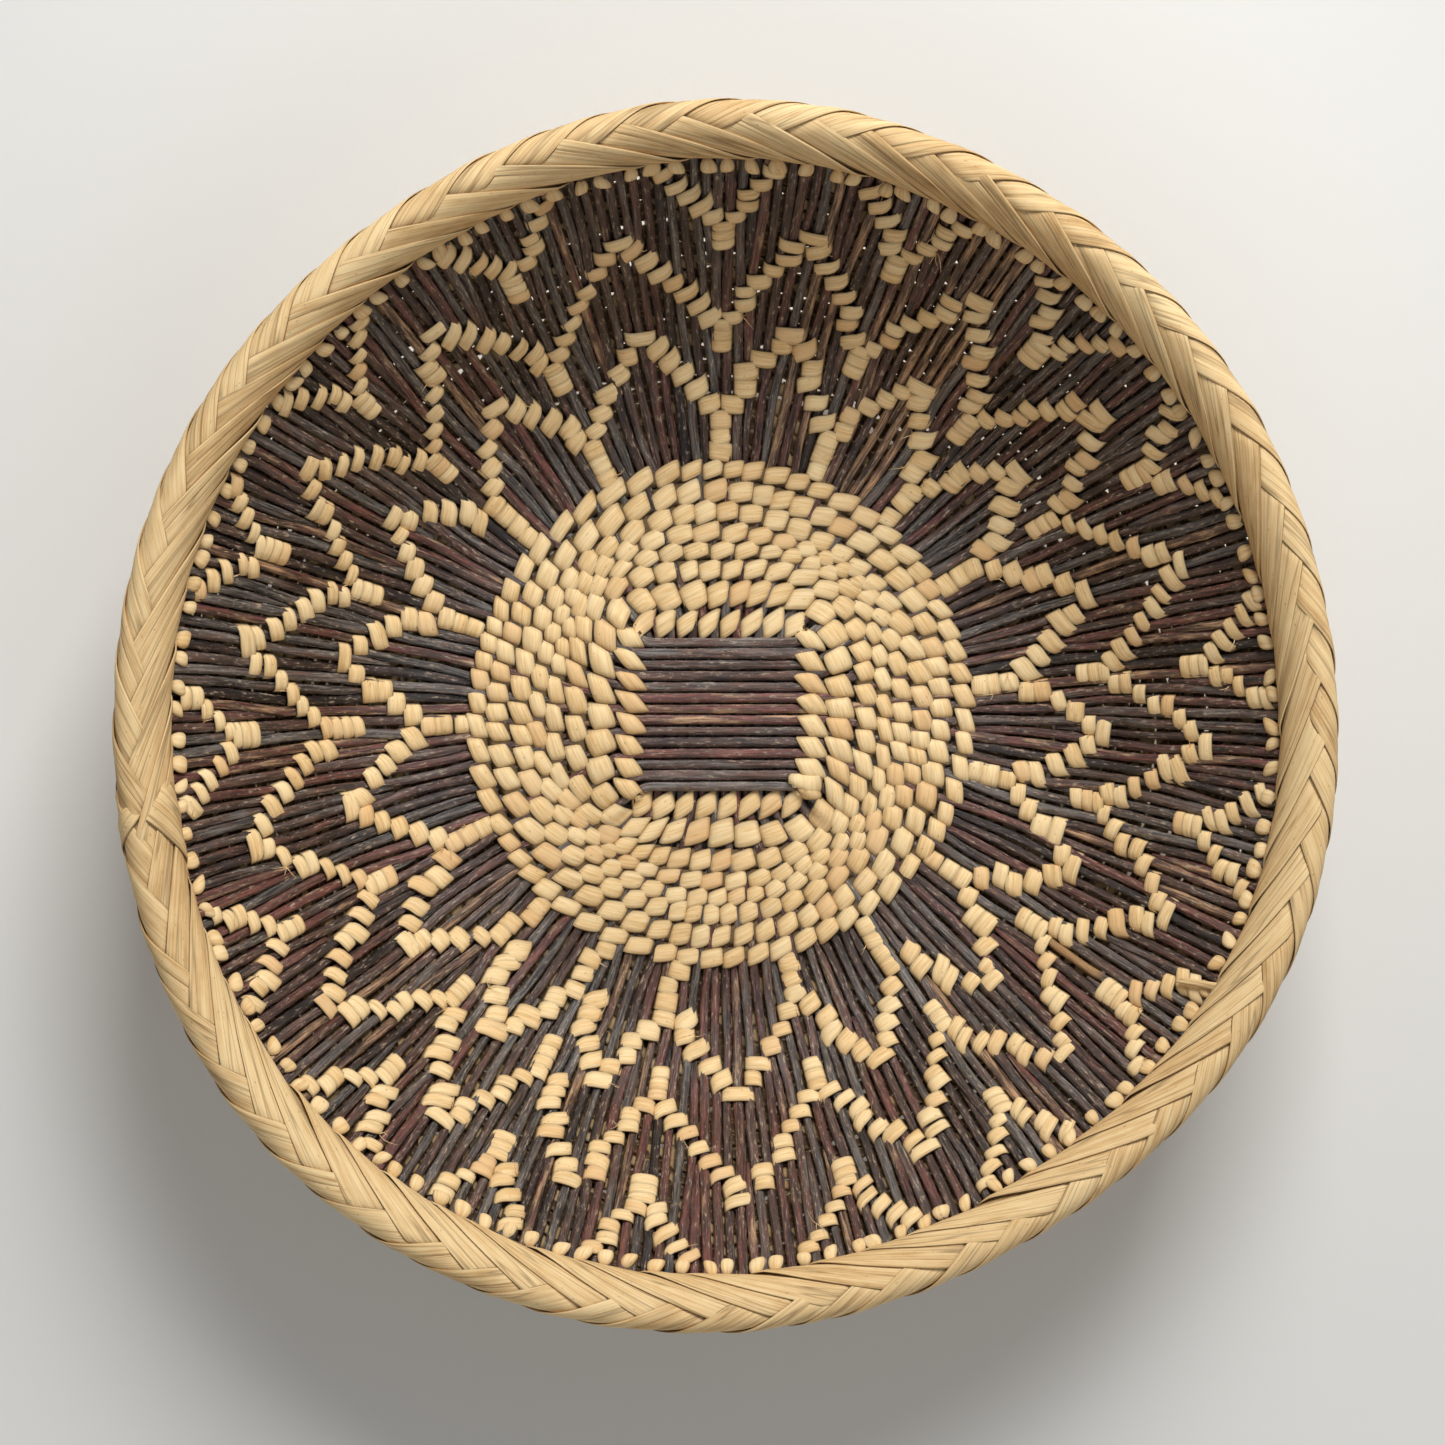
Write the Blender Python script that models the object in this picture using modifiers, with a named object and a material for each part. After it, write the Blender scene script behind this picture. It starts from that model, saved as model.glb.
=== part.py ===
"""Winnowing basket: thin sticks crossed at the centre and fanned up into a shallow bowl, twined with palm strip.

Metres, +Z up. The basket rests on its floor at z = 0 with its mouth up and its axis on Z. Every piece is an
object of its own: the crossed sticks with the bye-stakes spliced into them, the twined weft rows behind the
sticks, the two hoops that clamp the stake ends, and the palm-leaf binding around the rim.
"""

import math

import bmesh
import bpy

# Bowl, along the centre line of the stakes.
RIM_OUTER_DIAMETER = 0.360
FLOOR_RADIUS = 0.075
BEND_RADIUS = 0.070
WALL_SLOPE = math.radians(48.0)
BEND_STEPS = 3

# Sticks: one set lies across the centre on top of the other set, which runs down it.
ACROSS_STICKS = 14
DOWN_STICKS = 14
STICK_DIAMETER = 0.0030
STICK_SPACING = 0.0005
FAN_CORNER = 0.006
ACROSS_DROP_RADIUS = 0.056

# Bye-stakes: sharpened sticks spliced into each stick end, one on either side.
BYE_STAKES_PER_END = 2
BYE_POINT_SCALE = 0.40
BYE_MIDDLE_SCALE = 0.80

# Twined palm-leaf weft, as rows behind the sticks.
FLOOR_ROWS = 8
WALL_ROWS = 21
WEFT_THICKNESS = 0.0018
ROW_SPACING = 0.0006
FIRST_ROW_RADIUS = 0.028

# Rim roll: its section lies along the wall, around two hoops that clamp the stake ends.
RIM_ROLL_LENGTH = 0.020
RIM_BINDING_THICKNESS = 0.0010
HOOP_HEIGHT = 0.008
HOOP_THICKNESS = 0.002

# Clearance between pieces that touch.
FIT_GAP = 0.0003

# Facets of the turned pieces.
FLOOR_ROW_STEPS = 24
WALL_ROW_STEPS = 27
RIM_STEPS = 36
RIM_SECTION_STEPS = 8

# Values that follow from the ones above.
STICK_RADIUS = STICK_DIAMETER / 2
STICK_PITCH = STICK_DIAMETER + STICK_SPACING
STICK_ENDS = 2 * (ACROSS_STICKS + DOWN_STICKS)
END_SECTOR = 2 * math.pi / STICK_ENDS
STAKES_PER_END = 1 + BYE_STAKES_PER_END
STAKE_LEVEL = WEFT_THICKNESS + FIT_GAP + STICK_RADIUS
SPLIT_RADIUS = STICK_ENDS * STAKES_PER_END * STICK_PITCH / (2 * math.pi)


def facet_sag(radius, steps):
    """How far the middle of a ring's facet lies inside the circle through its corners."""
    return radius * (1 - math.cos(math.pi / steps))


# The rim's section follows from its hoops: the binding just clears their corners.
RIM_SAG = facet_sag(RIM_OUTER_DIAMETER / 2, RIM_STEPS) * math.sin(WALL_SLOPE)
HOOP_REACH = STICK_RADIUS + RIM_SAG + HOOP_THICKNESS + 2 * FIT_GAP
SECTION_FILL = math.cos(math.pi / RIM_SECTION_STEPS)
ROLL_INNER_HALF_LENGTH = RIM_ROLL_LENGTH / 2 - RIM_BINDING_THICKNESS
CORNER_SHARE = (HOOP_HEIGHT / 2 + FIT_GAP) / (ROLL_INNER_HALF_LENGTH * SECTION_FILL)
ROLL_INNER_HALF_THICKNESS = HOOP_REACH / (SECTION_FILL * math.sqrt(1 - CORNER_SHARE**2))
ROLL_HALF_THICKNESS = ROLL_INNER_HALF_THICKNESS + RIM_BINDING_THICKNESS
RIM_HALF_WIDTH = math.hypot(
    RIM_ROLL_LENGTH / 2 * math.cos(WALL_SLOPE),
    ROLL_HALF_THICKNESS * math.sin(WALL_SLOPE),
)
RIM_CENTRE_RADIUS = RIM_OUTER_DIAMETER / 2 - RIM_HALF_WIDTH


def bowl_knots():
    """Corners of the stakes' centre line, from the axis outward, as (radius, height)."""
    knots = [(0.0, STAKE_LEVEL)]
    for step in range(BEND_STEPS + 1):
        turn = WALL_SLOPE * step / BEND_STEPS
        radius = FLOOR_RADIUS + BEND_RADIUS * math.sin(turn)
        height = STAKE_LEVEL + BEND_RADIUS * (1 - math.cos(turn))
        knots.append((radius, height))
    bend_radius, bend_height = knots[-1]
    rise = (RIM_CENTRE_RADIUS - bend_radius) * math.tan(WALL_SLOPE)
    knots.append((RIM_CENTRE_RADIUS, bend_height + rise))
    return knots


KNOTS = bowl_knots()
KNOT_ARCS = [0.0]
for knot, next_knot in zip(KNOTS, KNOTS[1:]):
    KNOT_ARCS.append(KNOT_ARCS[-1] + math.dist(knot, next_knot))
RIM_CENTRE_ARC = KNOT_ARCS[-1]
RIM_LOWER_ARC = RIM_CENTRE_ARC - RIM_ROLL_LENGTH / 2
STAKE_END_ARC = RIM_CENTRE_ARC + HOOP_HEIGHT / 2


def on_bowl(arc):
    """Radius, height and slope of the stakes' centre line at a distance along it from the axis."""
    last = len(KNOTS) - 2
    index = 0
    while index < last and arc > KNOT_ARCS[index + 1]:
        index += 1
    (radius_a, height_a), (radius_b, height_b) = KNOTS[index], KNOTS[index + 1]
    slope = math.atan2(height_b - height_a, radius_b - radius_a)
    along = arc - KNOT_ARCS[index]
    return radius_a + along * math.cos(slope), height_a + along * math.sin(slope), slope


def stake_point(arc, bearing):
    radius, height, _ = on_bowl(arc)
    return (radius * math.cos(bearing), radius * math.sin(bearing), height)


def make_material(name, colour, roughness):
    material = bpy.data.materials.new(name)
    material.use_nodes = True
    shader = material.node_tree.nodes["Principled BSDF"]
    shader.inputs["Base Color"].default_value = (*colour, 1.0)
    shader.inputs["Roughness"].default_value = roughness
    shader.inputs["Metallic"].default_value = 0.0
    material.diffuse_color = (*colour, 1.0)
    return material


def add_object(name, data, collection, material):
    data.materials.append(material)
    piece = bpy.data.objects.new(name, data)
    collection.objects.link(piece)
    return piece


def stick_curve(name, runs):
    """A bevelled curve with one spline for each run of (point, scale) pairs."""
    curve = bpy.data.curves.new(name, "CURVE")
    curve.dimensions = "3D"
    curve.twist_mode = "Z_UP"
    curve.bevel_depth = STICK_RADIUS
    curve.bevel_resolution = 0
    curve.use_fill_caps = True
    for run in runs:
        spline = curve.splines.new("POLY")
        spline.points.add(len(run) - 1)
        for control, (point, scale) in zip(spline.points, run):
            control.co = (*point, 1.0)
            control.radius = scale
    return curve


def solid_from_curve(name, runs, collection, material):
    """The curve's evaluated mesh as an object of its own, with its end caps welded on."""
    curve = stick_curve(name + "_line", runs)
    line = bpy.data.objects.new(name + "_line", curve)
    collection.objects.link(line)
    depsgraph = bpy.context.evaluated_depsgraph_get()
    mesh = bpy.data.meshes.new_from_object(line.evaluated_get(depsgraph))
    mesh.name = name
    editable = bmesh.new()
    editable.from_mesh(mesh)
    bmesh.ops.remove_doubles(editable, verts=editable.verts, dist=1e-6)
    bmesh.ops.recalc_face_normals(editable, faces=editable.faces)
    editable.to_mesh(mesh)
    editable.free()
    mesh.shade_smooth()
    mesh.set_sharp_from_angle(angle=math.radians(95.0))
    solid = add_object(name, mesh, collection, material)
    solid.matrix_world = line.matrix_world
    bpy.data.objects.remove(line)
    bpy.data.curves.remove(curve)
    return solid


def half_stick(offset, sector_index, heading, lift):
    """One half of a stick, from the centre square out to the rim.

    The half leaves the square beside the axis at the given offset, turns to its own bearing at an eased
    corner, comes down from its lift and then follows the bowl.
    """
    turn = sector_index * END_SECTOR
    bearing = heading + turn
    corner_radius = offset / math.sin(turn) if turn else STICK_PITCH / END_SECTOR
    corner_x = corner_radius * math.cos(turn)
    level = STAKE_LEVEL + lift
    flat = [
        (corner_x - FAN_CORNER, offset),
        ((corner_radius + FAN_CORNER) * math.cos(turn), (corner_radius + FAN_CORNER) * math.sin(turn)),
    ]
    points = []
    for x, y in flat:
        turned_x = x * math.cos(heading) - y * math.sin(heading)
        turned_y = x * math.sin(heading) + y * math.cos(heading)
        points.append((turned_x, turned_y, level))
    arcs = [ACROSS_DROP_RADIUS] if lift else []
    arcs += KNOT_ARCS[1:-1] + [STAKE_END_ARC]
    points += [stake_point(arc, bearing) for arc in arcs]
    return points, bearing


def bye_stake(bearing, side):
    """A sharpened stake that starts inside its stick and draws away to one side of it."""
    start_arc = KNOT_ARCS[1]
    full_offset = END_SECTOR / STAKES_PER_END
    run = [(stake_point(start_arc, bearing), BYE_POINT_SCALE)]
    for arc in KNOT_ARCS[2:-1] + [STAKE_END_ARC]:
        radius, _, _ = on_bowl(arc)
        share = min(1.0, (radius - FLOOR_RADIUS) / (SPLIT_RADIUS - FLOOR_RADIUS))
        scale = 1.0 if share == 1.0 else BYE_MIDDLE_SCALE
        run.append((stake_point(arc, bearing + side * share * full_offset), scale))
    return run


def add_stick(name, offset, sector_index, heading, lift, collection, operands, material):
    """A whole stick, rim to rim, joined with the bye-stakes at both of its ends."""
    front, front_bearing = half_stick(offset, sector_index, heading, lift)
    back, back_bearing = half_stick(-offset, -sector_index, heading + math.pi, lift)
    run = [(point, 1.0) for point in reversed(back)] + [(point, 1.0) for point in front]
    stick = solid_from_curve(name, [run], collection, material)
    byes = [bye_stake(bearing, side) for bearing in (front_bearing, back_bearing) for side in (-1, 1)]
    spliced = solid_from_curve(name + "_bye_stakes", byes, operands, material)
    spliced.hide_render = True
    spliced.display_type = "WIRE"
    splice = stick.modifiers.new("splice_bye_stakes", "BOOLEAN")
    splice.operation = "UNION"
    splice.solver = "EXACT"
    splice.object = spliced
    return stick


def add_stick_set(prefix, count, heading, lift, collection, operands, material):
    for index in range(count):
        place = index - (count - 1) / 2
        name = f"{prefix}_{index + 1:02d}"
        add_stick(name, place * STICK_PITCH, place, heading, lift, collection, operands, material)


def add_ring(name, profile, steps, collection, material):
    """A profile of (radius, height) points turned once around the axis."""
    area = sum(
        a[0] * b[1] - b[0] * a[1]
        for a, b in zip(profile, profile[1:] + profile[:1])
    )
    if area > 0:
        profile = profile[::-1]
    mesh = bpy.data.meshes.new(name)
    vertices = [(radius, 0.0, height) for radius, height in profile]
    edges = [(index, (index + 1) % len(profile)) for index in range(len(profile))]
    mesh.from_pydata(vertices, edges, [])
    ring = add_object(name, mesh, collection, material)
    screw = ring.modifiers.new("turn", "SCREW")
    screw.axis = "Z"
    screw.angle = 2 * math.pi
    screw.steps = steps
    screw.render_steps = steps
    screw.use_merge_vertices = True
    screw.merge_threshold = 1e-5
    screw.use_smooth_shade = True
    return ring


def along_wall(radius, height, slope, along, inward):
    """A point given along the wall and along its inward normal, from a place on the wall."""
    return (
        radius + along * math.cos(slope) - inward * math.sin(slope),
        height + along * math.sin(slope) + inward * math.cos(slope),
    )


def add_floor_rows(collection, material):
    """Flat rows under the sticks: the face that the basket rests on."""
    pitch = (FLOOR_RADIUS - FIRST_ROW_RADIUS) / FLOOR_ROWS
    for index in range(FLOOR_ROWS):
        inner = FIRST_ROW_RADIUS + index * pitch
        outer = inner + pitch - ROW_SPACING
        profile = [(outer, WEFT_THICKNESS), (outer, 0.0), (inner, 0.0), (inner, WEFT_THICKNESS)]
        add_ring(f"floor_weft_row_{index + 1:02d}", profile, FLOOR_ROW_STEPS, collection, material)


def add_wall_rows(collection, material):
    """Ridged rows on the outside of the wall, flat against the sticks."""
    pitch = (RIM_LOWER_ARC - FLOOR_RADIUS) / WALL_ROWS
    half_width = (pitch - ROW_SPACING) / 2
    for index in range(WALL_ROWS):
        radius, height, slope = on_bowl(FLOOR_RADIUS + (index + 0.5) * pitch)
        seat = STICK_RADIUS + FIT_GAP + facet_sag(radius, WALL_ROW_STEPS) * math.sin(slope)
        profile = [
            along_wall(radius, height, slope, half_width, -seat),
            along_wall(radius, height, slope, 0.0, -seat - WEFT_THICKNESS),
            along_wall(radius, height, slope, -half_width, -seat),
        ]
        add_ring(f"wall_weft_row_{index + 1:02d}", profile, WALL_ROW_STEPS, collection, material)


def rim_point(along, inward):
    radius, height, slope = on_bowl(RIM_CENTRE_ARC)
    return along_wall(radius, height, slope, along, inward)


def add_hoop(name, inner_face, outer_face, collection, material):
    profile = [
        rim_point(HOOP_HEIGHT / 2, outer_face),
        rim_point(-HOOP_HEIGHT / 2, outer_face),
        rim_point(-HOOP_HEIGHT / 2, inner_face),
        rim_point(HOOP_HEIGHT / 2, inner_face),
    ]
    add_ring(name, profile, RIM_STEPS, collection, material)


def rim_arc(half_length, half_thickness, slot_half):
    """Points of an oval around the roll, left open at its lower end where the stakes come in."""
    end_angle = math.pi - math.asin(slot_half / half_thickness)
    points = []
    for step in range(RIM_SECTION_STEPS + 1):
        angle = end_angle * (2 * step / RIM_SECTION_STEPS - 1)
        points.append(rim_point(half_length * math.cos(angle), half_thickness * math.sin(angle)))
    return points


def add_rim(collection, wood, palm):
    inner_face = STICK_RADIUS + FIT_GAP
    outer_face = -(STICK_RADIUS + FIT_GAP + RIM_SAG)
    add_hoop("inner_rim_hoop", inner_face + HOOP_THICKNESS, inner_face, collection, wood)
    add_hoop("outer_rim_hoop", outer_face, outer_face - HOOP_THICKNESS, collection, wood)
    slot_half = STICK_RADIUS + FIT_GAP + RIM_SAG
    outside = rim_arc(RIM_ROLL_LENGTH / 2, ROLL_HALF_THICKNESS, slot_half)
    inside = rim_arc(ROLL_INNER_HALF_LENGTH, ROLL_INNER_HALF_THICKNESS, slot_half)
    add_ring("rim_binding", outside + inside[::-1], RIM_STEPS, collection, palm)


def new_collection(name):
    collection = bpy.data.collections.new(name)
    bpy.context.scene.collection.children.link(collection)
    return collection


def main():
    for piece in list(bpy.data.objects):
        bpy.data.objects.remove(piece)
    basket = new_collection("winnowing_basket")
    operands = new_collection("joined_bye_stakes")
    bark = make_material("dark_stick_bark", (0.075, 0.052, 0.043), 0.65)
    weft = make_material("palm_strip_weft", (0.52, 0.36, 0.19), 0.60)
    leaf = make_material("palm_leaf_binding", (0.74, 0.52, 0.29), 0.55)
    wood = make_material("split_wood_hoop", (0.40, 0.27, 0.15), 0.60)
    lift = STICK_DIAMETER + FIT_GAP
    add_stick_set("across_stick", ACROSS_STICKS, 0.0, lift, basket, operands, bark)
    add_stick_set("down_stick", DOWN_STICKS, math.pi / 2, 0.0, basket, operands, bark)
    add_floor_rows(basket, weft)
    add_wall_rows(basket, weft)
    add_rim(basket, wood, leaf)


main()
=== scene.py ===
import functools
import math

import bpy
import numpy as np
from bpy.props import FloatProperty, FloatVectorProperty, IntProperty, PointerProperty
from mathutils import Matrix, Vector


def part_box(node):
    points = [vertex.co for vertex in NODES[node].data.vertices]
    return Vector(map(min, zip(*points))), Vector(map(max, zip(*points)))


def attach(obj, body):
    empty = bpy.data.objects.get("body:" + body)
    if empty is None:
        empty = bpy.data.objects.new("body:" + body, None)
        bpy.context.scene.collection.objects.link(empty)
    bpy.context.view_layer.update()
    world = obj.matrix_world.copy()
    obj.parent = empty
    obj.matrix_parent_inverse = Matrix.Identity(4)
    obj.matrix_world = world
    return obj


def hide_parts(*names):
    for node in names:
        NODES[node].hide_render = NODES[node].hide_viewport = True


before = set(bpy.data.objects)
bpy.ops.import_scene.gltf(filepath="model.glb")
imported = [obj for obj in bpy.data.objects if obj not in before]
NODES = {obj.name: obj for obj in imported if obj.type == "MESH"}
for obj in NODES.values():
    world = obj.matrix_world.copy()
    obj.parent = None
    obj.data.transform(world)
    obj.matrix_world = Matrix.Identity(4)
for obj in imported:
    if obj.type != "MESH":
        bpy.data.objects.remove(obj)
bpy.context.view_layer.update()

bl_info = {
    "name": "Winnowing Basket",
    "version": (1, 0, 0),
    "blender": (4, 5, 0),
    "location": "View3D > Sidebar > Basket",
    "description": "Builds a hand-twined winnowing basket of bark sticks and palm leaf",
    "category": "Object",
}

MM = 0.001
TURN = 2 * math.pi
UP = np.array((0.0, 0.0, 1.0))
SEED = 41
RIM_LOW, RIM_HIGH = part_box("rim_binding")

# Sticks that lie each way in the square. Each of their ends leads one sector of the fan.
STICKS = 14
STICK_ENDS = 4 * STICKS
END_SECTOR = TURN / STICK_ENDS
STICK_SIDES = 10

# The fan takes in one more stake in each sector at each of these radii, over this far to each side of it.
FAN_RADII_MM = (49.0, 80.0, 112.0, 144.0)
LETTING_IN = 13 * MM

# A stake sways to the sides by these sizes over these lengths.
SWAYS = ((0.20 * MM, 11 * MM), (0.12 * MM, 5.3 * MM))

# Radii between which the upper layer of sticks comes down to the lower one.
LAYERS_PART, LAYERS_MEET = 36 * MM, 56 * MM

# Waves round the rim, each with its height and the bearing of a crest in degrees: the ring was bent by hand and
# is not quite round.
RIM_WAVES = ((2, 1.40 * MM, 49), (3, 1.20 * MM, -18), (4, 0.71 * MM, -24), (6, 0.48 * MM, -26))

# Rows of the pale disc: radii at the middle of a side, how far each still follows the square (2 is round), and the
# slant of its stitches.
DISC_ROWS_MM = (28.6, 37.8, 46.1, 52.5, 57.9, 63.9, 70.6, 77.6)
DISC_SQUARENESS = (14.0, 4.6, 3.1, 2.5, 2.2, 2.0, 2.0, 2.0)
DISC_SLANTS = (-0.62, -0.34, -0.34, -0.30, -0.30, -0.30, -0.30, -0.30)

# Stitches in the first row of the disc, and the length that a stitch takes in the rows after it.
FIRST_ROW_STITCHES = 32
STITCH_SPACE = 7.6 * MM

# Rows of the wall from the disc to the rim: how many, and how far apart.
WALL_ROWS_MM = ((9, 5.2), (8, 5.0), (6, 4.4))

# Bearings, in degrees from the right going round to the top, of the pale spokes that start the zigzags.
SPOKES = (7, 30, 49, 69, 90, 115, 138, 160, 182.5, 206, 226, 243, 260, 285, 305, 325.5, 347)

# Rows of the spokes, and places between rows of the thick wraps at the zigzags' points. Each zigzag has its first
# row, the rows that it shows and the rows from point to point: the last one runs on under the rim.
SPOKE_ROWS = (9, 10, 11)
POINT_ROWS = (16.5, 24.5)
ZIGZAGS = ((12, 6, 6), (18, 8, 8), (26, 5, 10))

# Slant of a stitch on an arm that goes round with the bearing (1), on one that goes back (-1) and elsewhere (0).
ARM_SLANTS = {1: -0.42, -1: -0.08, 0: -0.05}

# Bearings, in degrees, of what the maker left: the wrap that ties in the first strand, a stake whose bark has
# peeled half way up, the place where the rim's plait closes and a loose end of it.
KNOT_BEARING = -38
PEELED_BEARING, PEELED_RADIUS = 326, 130 * MM
CLOSING_BEARING = 189
LOOSE_END_BEARING = 332

# The rim plait: its ridge, and the ends of its strips and closing flaps on the inside (1) and the outside (-1), as
# turns in degrees round the roll, and how high its strips lap over the roll that they cover. Below it, small loops
# lash the rim to the wall.
RIDGE_TURN = 44
STRIP_ENDS = {1: 172, -1: -168}
FLAP_ENDS = {1: 168, -1: -160}
UNDER_PLAIT = 1.25 * MM
LASHING_LOOPS = 137

# The map that the colours are baked through holds each strand unrolled, in parts no longer than this.
LONGEST_ON_SHEET = 50 * MM
CAP_ON_SHEET = 1 * MM

# Soft lamps: place, width in metres and power in watts.
LAMPS = {"key_softbox": ((0.25, 1.18, 1.08), 0.7, 25.4), "fill_softbox": ((0.30, -1.1, 1.20), 1.0, 4.0)}
LAMP_AIM = (0, 0, 0.03)
AIR_STRENGTH = 0.22

# The camera, what it looks at, and the width that it sees there.
CAMERA_PLACE = (-0.0215, 0.037, 0.977)
CAMERA_AIM = (-0.9 * MM, 0.3 * MM, 0.0763)
CAMERA_FIELD = 0.425
SENSOR_MM = 36

# Half the floor's width, and the height of its raised edge, which closes the horizon in low views.
FLOOR_HALF, FLOOR_EDGE = 15.0, 4.2
# Distances from the basket between which the lit floor turns into an even sweep.
SWEEP_BEGINS, SWEEP_WHOLE = 0.27, 0.5


def linear(code):
    """Turns an sRGB hex colour into linear values."""
    parts = [int(code[i:i + 2], 16) / 255 for i in (1, 3, 5)]
    return tuple(p / 12.92 if p <= 0.04045 else ((p + 0.055) / 1.055) ** 2.4 for p in parts) + (1.0,)


def colour(code, name, description):
    return FloatVectorProperty(
        name=name, description=description, subtype="COLOR", size=4, min=0, max=1, default=linear(code)
    )


def length(default, name, description):
    return FloatProperty(name=name, description=description, default=default, min=0, unit="LENGTH", precision=5)


class BasketSizes(bpy.types.PropertyGroup):
    """Sizes of the basket, in the frame of the CAD model"""

    rim_radius: length((RIM_HIGH.x - RIM_LOW.x) / 2, "Rim radius", "From the middle to the outside of the rim")
    floor_radius: length(75 * MM, "Floor radius", "Where the flat floor ends and the wall begins to rise")
    bend_radius: length(70 * MM, "Bend radius", "Radius of the bend between floor and wall")
    wall_slope: FloatProperty(
        name="Wall slope", description="Slope of the wall above the bend", default=math.radians(48),
        subtype="ANGLE",
    )
    stake_level: length(3.6 * MM, "Stake level", "Height of the middle of the sticks over the floor")
    stick_diameter: length(2.95 * MM, "Stick diameter", "Thickness of a stick with its bark")
    stick_pitch: length(3.5 * MM, "Stick pitch", "Distance between sticks where they cross in the middle")
    cross_lift: length(2.9 * MM, "Cross lift", "How far the upper layer of sticks lies over the lower one")
    roll_length: length(20 * MM, "Rim roll length", "Size of the rim roll along the wall")
    roll_thickness: length(13.6 * MM, "Rim roll thickness", "Size of the rim roll across the wall")
    rim_strips: IntProperty(name="Rim strips", description="Strips in each half of the rim plait", default=60)


class BasketColours(bpy.types.PropertyGroup):
    """Colours of the basket's materials"""

    palm_light: colour("#fde2af", "Palm, light fibre", "Pale fibres of a fresh strip")
    palm_middle: colour("#f3d098", "Palm", "Main colour of a strip")
    palm_dark: colour("#e2b87b", "Palm, dark fibre", "Brown fibres and dry streaks")
    palm_peach: colour("#e6b680", "Palm, peach", "Warmer strips among the pale ones")
    # The cut-edge brown also serves as painted shade: in the disc's seams, on the inward faces of the strands behind
    # the sticks, and at stitch edges and ends.
    palm_edge_and_shade: colour("#402a10", "Palm, cut edge", "Cut edges and tucked ends of a strip")
    binding_light: colour("#f2d5a0", "Binding, light fibre", "Pale fibres of the rim plait")
    binding_middle: colour("#e3bf89", "Binding", "Main colour of the rim plait")
    binding_dark: colour("#c49b64", "Binding, dark fibre", "Brown fibres of the rim plait")
    aged_middle: colour("#b09162", "Aged palm", "Palm on the outside, dulled by use")
    bark_black: colour("#170c0c", "Bark, near black", "The darkest bark")
    bark_brown: colour("#4d352c", "Bark, brown", "Main colour of the bark")
    bark_slate: colour("#57534f", "Bark, slate grey", "Greyed bark")
    bark_red: colour("#5c322c", "Bark, red", "Reddish bark")
    bark_tan: colour("#927052", "Bark, tan", "Rubbed bark that shows the wood")
    bark_scuff: colour("#cdb79c", "Bark scuff", "Pale nicks in the bark")
    bared: colour("#b98d5c", "Bared wood", "Wood of a stake that has lost its bark")
    hoop: colour("#8f6b43", "Hoop wood", "Split wood of the two hoops")
    floor: colour("#e7e6e2", "Floor", "Plain pale floor under the basket")


def ease(low, high, value):
    """0 below low and 1 above high, with a smooth rise between."""
    part = np.clip((np.asarray(value, float) - low) / (high - low), 0, 1)
    return part * part * (3 - 2 * part)


def hand_wave(bearing):
    """How far the hand-bent rim stands out at a bearing."""
    return sum(height * np.cos(k * (bearing - math.radians(crest))) for k, height, crest in RIM_WAVES)


class Bowl:
    """The smooth surface through the middle of the sticks. A place on it is the distance along the wall
    from the centre, the bearing round the basket and the height over the surface on the inside."""

    def __init__(self, sizes):
        self.sizes = sizes
        self.floor = sizes.floor_radius
        self.bend = sizes.bend_radius
        self.slope = sizes.wall_slope
        half_length = sizes.roll_length / 2
        half_thick = sizes.roll_thickness / 2
        reach = math.hypot(half_length * math.cos(self.slope), half_thick * math.sin(self.slope))
        self.roll_radius = sizes.rim_radius - reach
        straight = (self.roll_radius - self.floor - self.bend * math.sin(self.slope)) / math.cos(self.slope)
        self.roll_arc = self.floor + self.bend * self.slope + straight
        self.arcs = np.linspace(0, self.roll_arc + half_length, 600)
        self.radii = self.profile(self.arcs)[0]

    def profile(self, arc):
        """Radius, height and slope of the surface at a distance along the wall."""
        arc = np.asarray(arc, float)
        turn = np.clip((arc - self.floor) / self.bend, 0, self.slope)
        straight = np.maximum(arc - self.floor - self.bend * self.slope, 0)
        radius = np.minimum(arc, self.floor) + self.bend * np.sin(turn) + straight * math.cos(self.slope)
        height = self.sizes.stake_level + self.bend * (1 - np.cos(turn)) + straight * math.sin(self.slope)
        return radius, height, turn

    def arc_at(self, radius):
        return np.interp(radius, self.radii, self.arcs)

    def bent(self, radius, bearing, height):
        """A point in space, pushed out by the rim's waves more the nearer it is to the rim."""
        share = (radius / self.roll_radius) ** 2
        radius = radius + hand_wave(bearing) * share
        return np.stack([radius * np.cos(bearing), radius * np.sin(bearing), height], axis=-1)

    def point(self, arc, bearing, inward=0.0):
        radius, height, turn = self.profile(arc)
        return self.bent(radius - inward * np.sin(turn), bearing + 0 * radius, height + inward * np.cos(turn))

    def lift(self, bearing, radius):
        """Height of the upper layer of sticks, which comes down to the lower one past the square."""
        across = np.abs(np.cos(bearing)) > np.abs(np.sin(bearing))
        return self.sizes.cross_lift * (1 - ease(LAYERS_PART, LAYERS_MEET, radius)) * across


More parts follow.
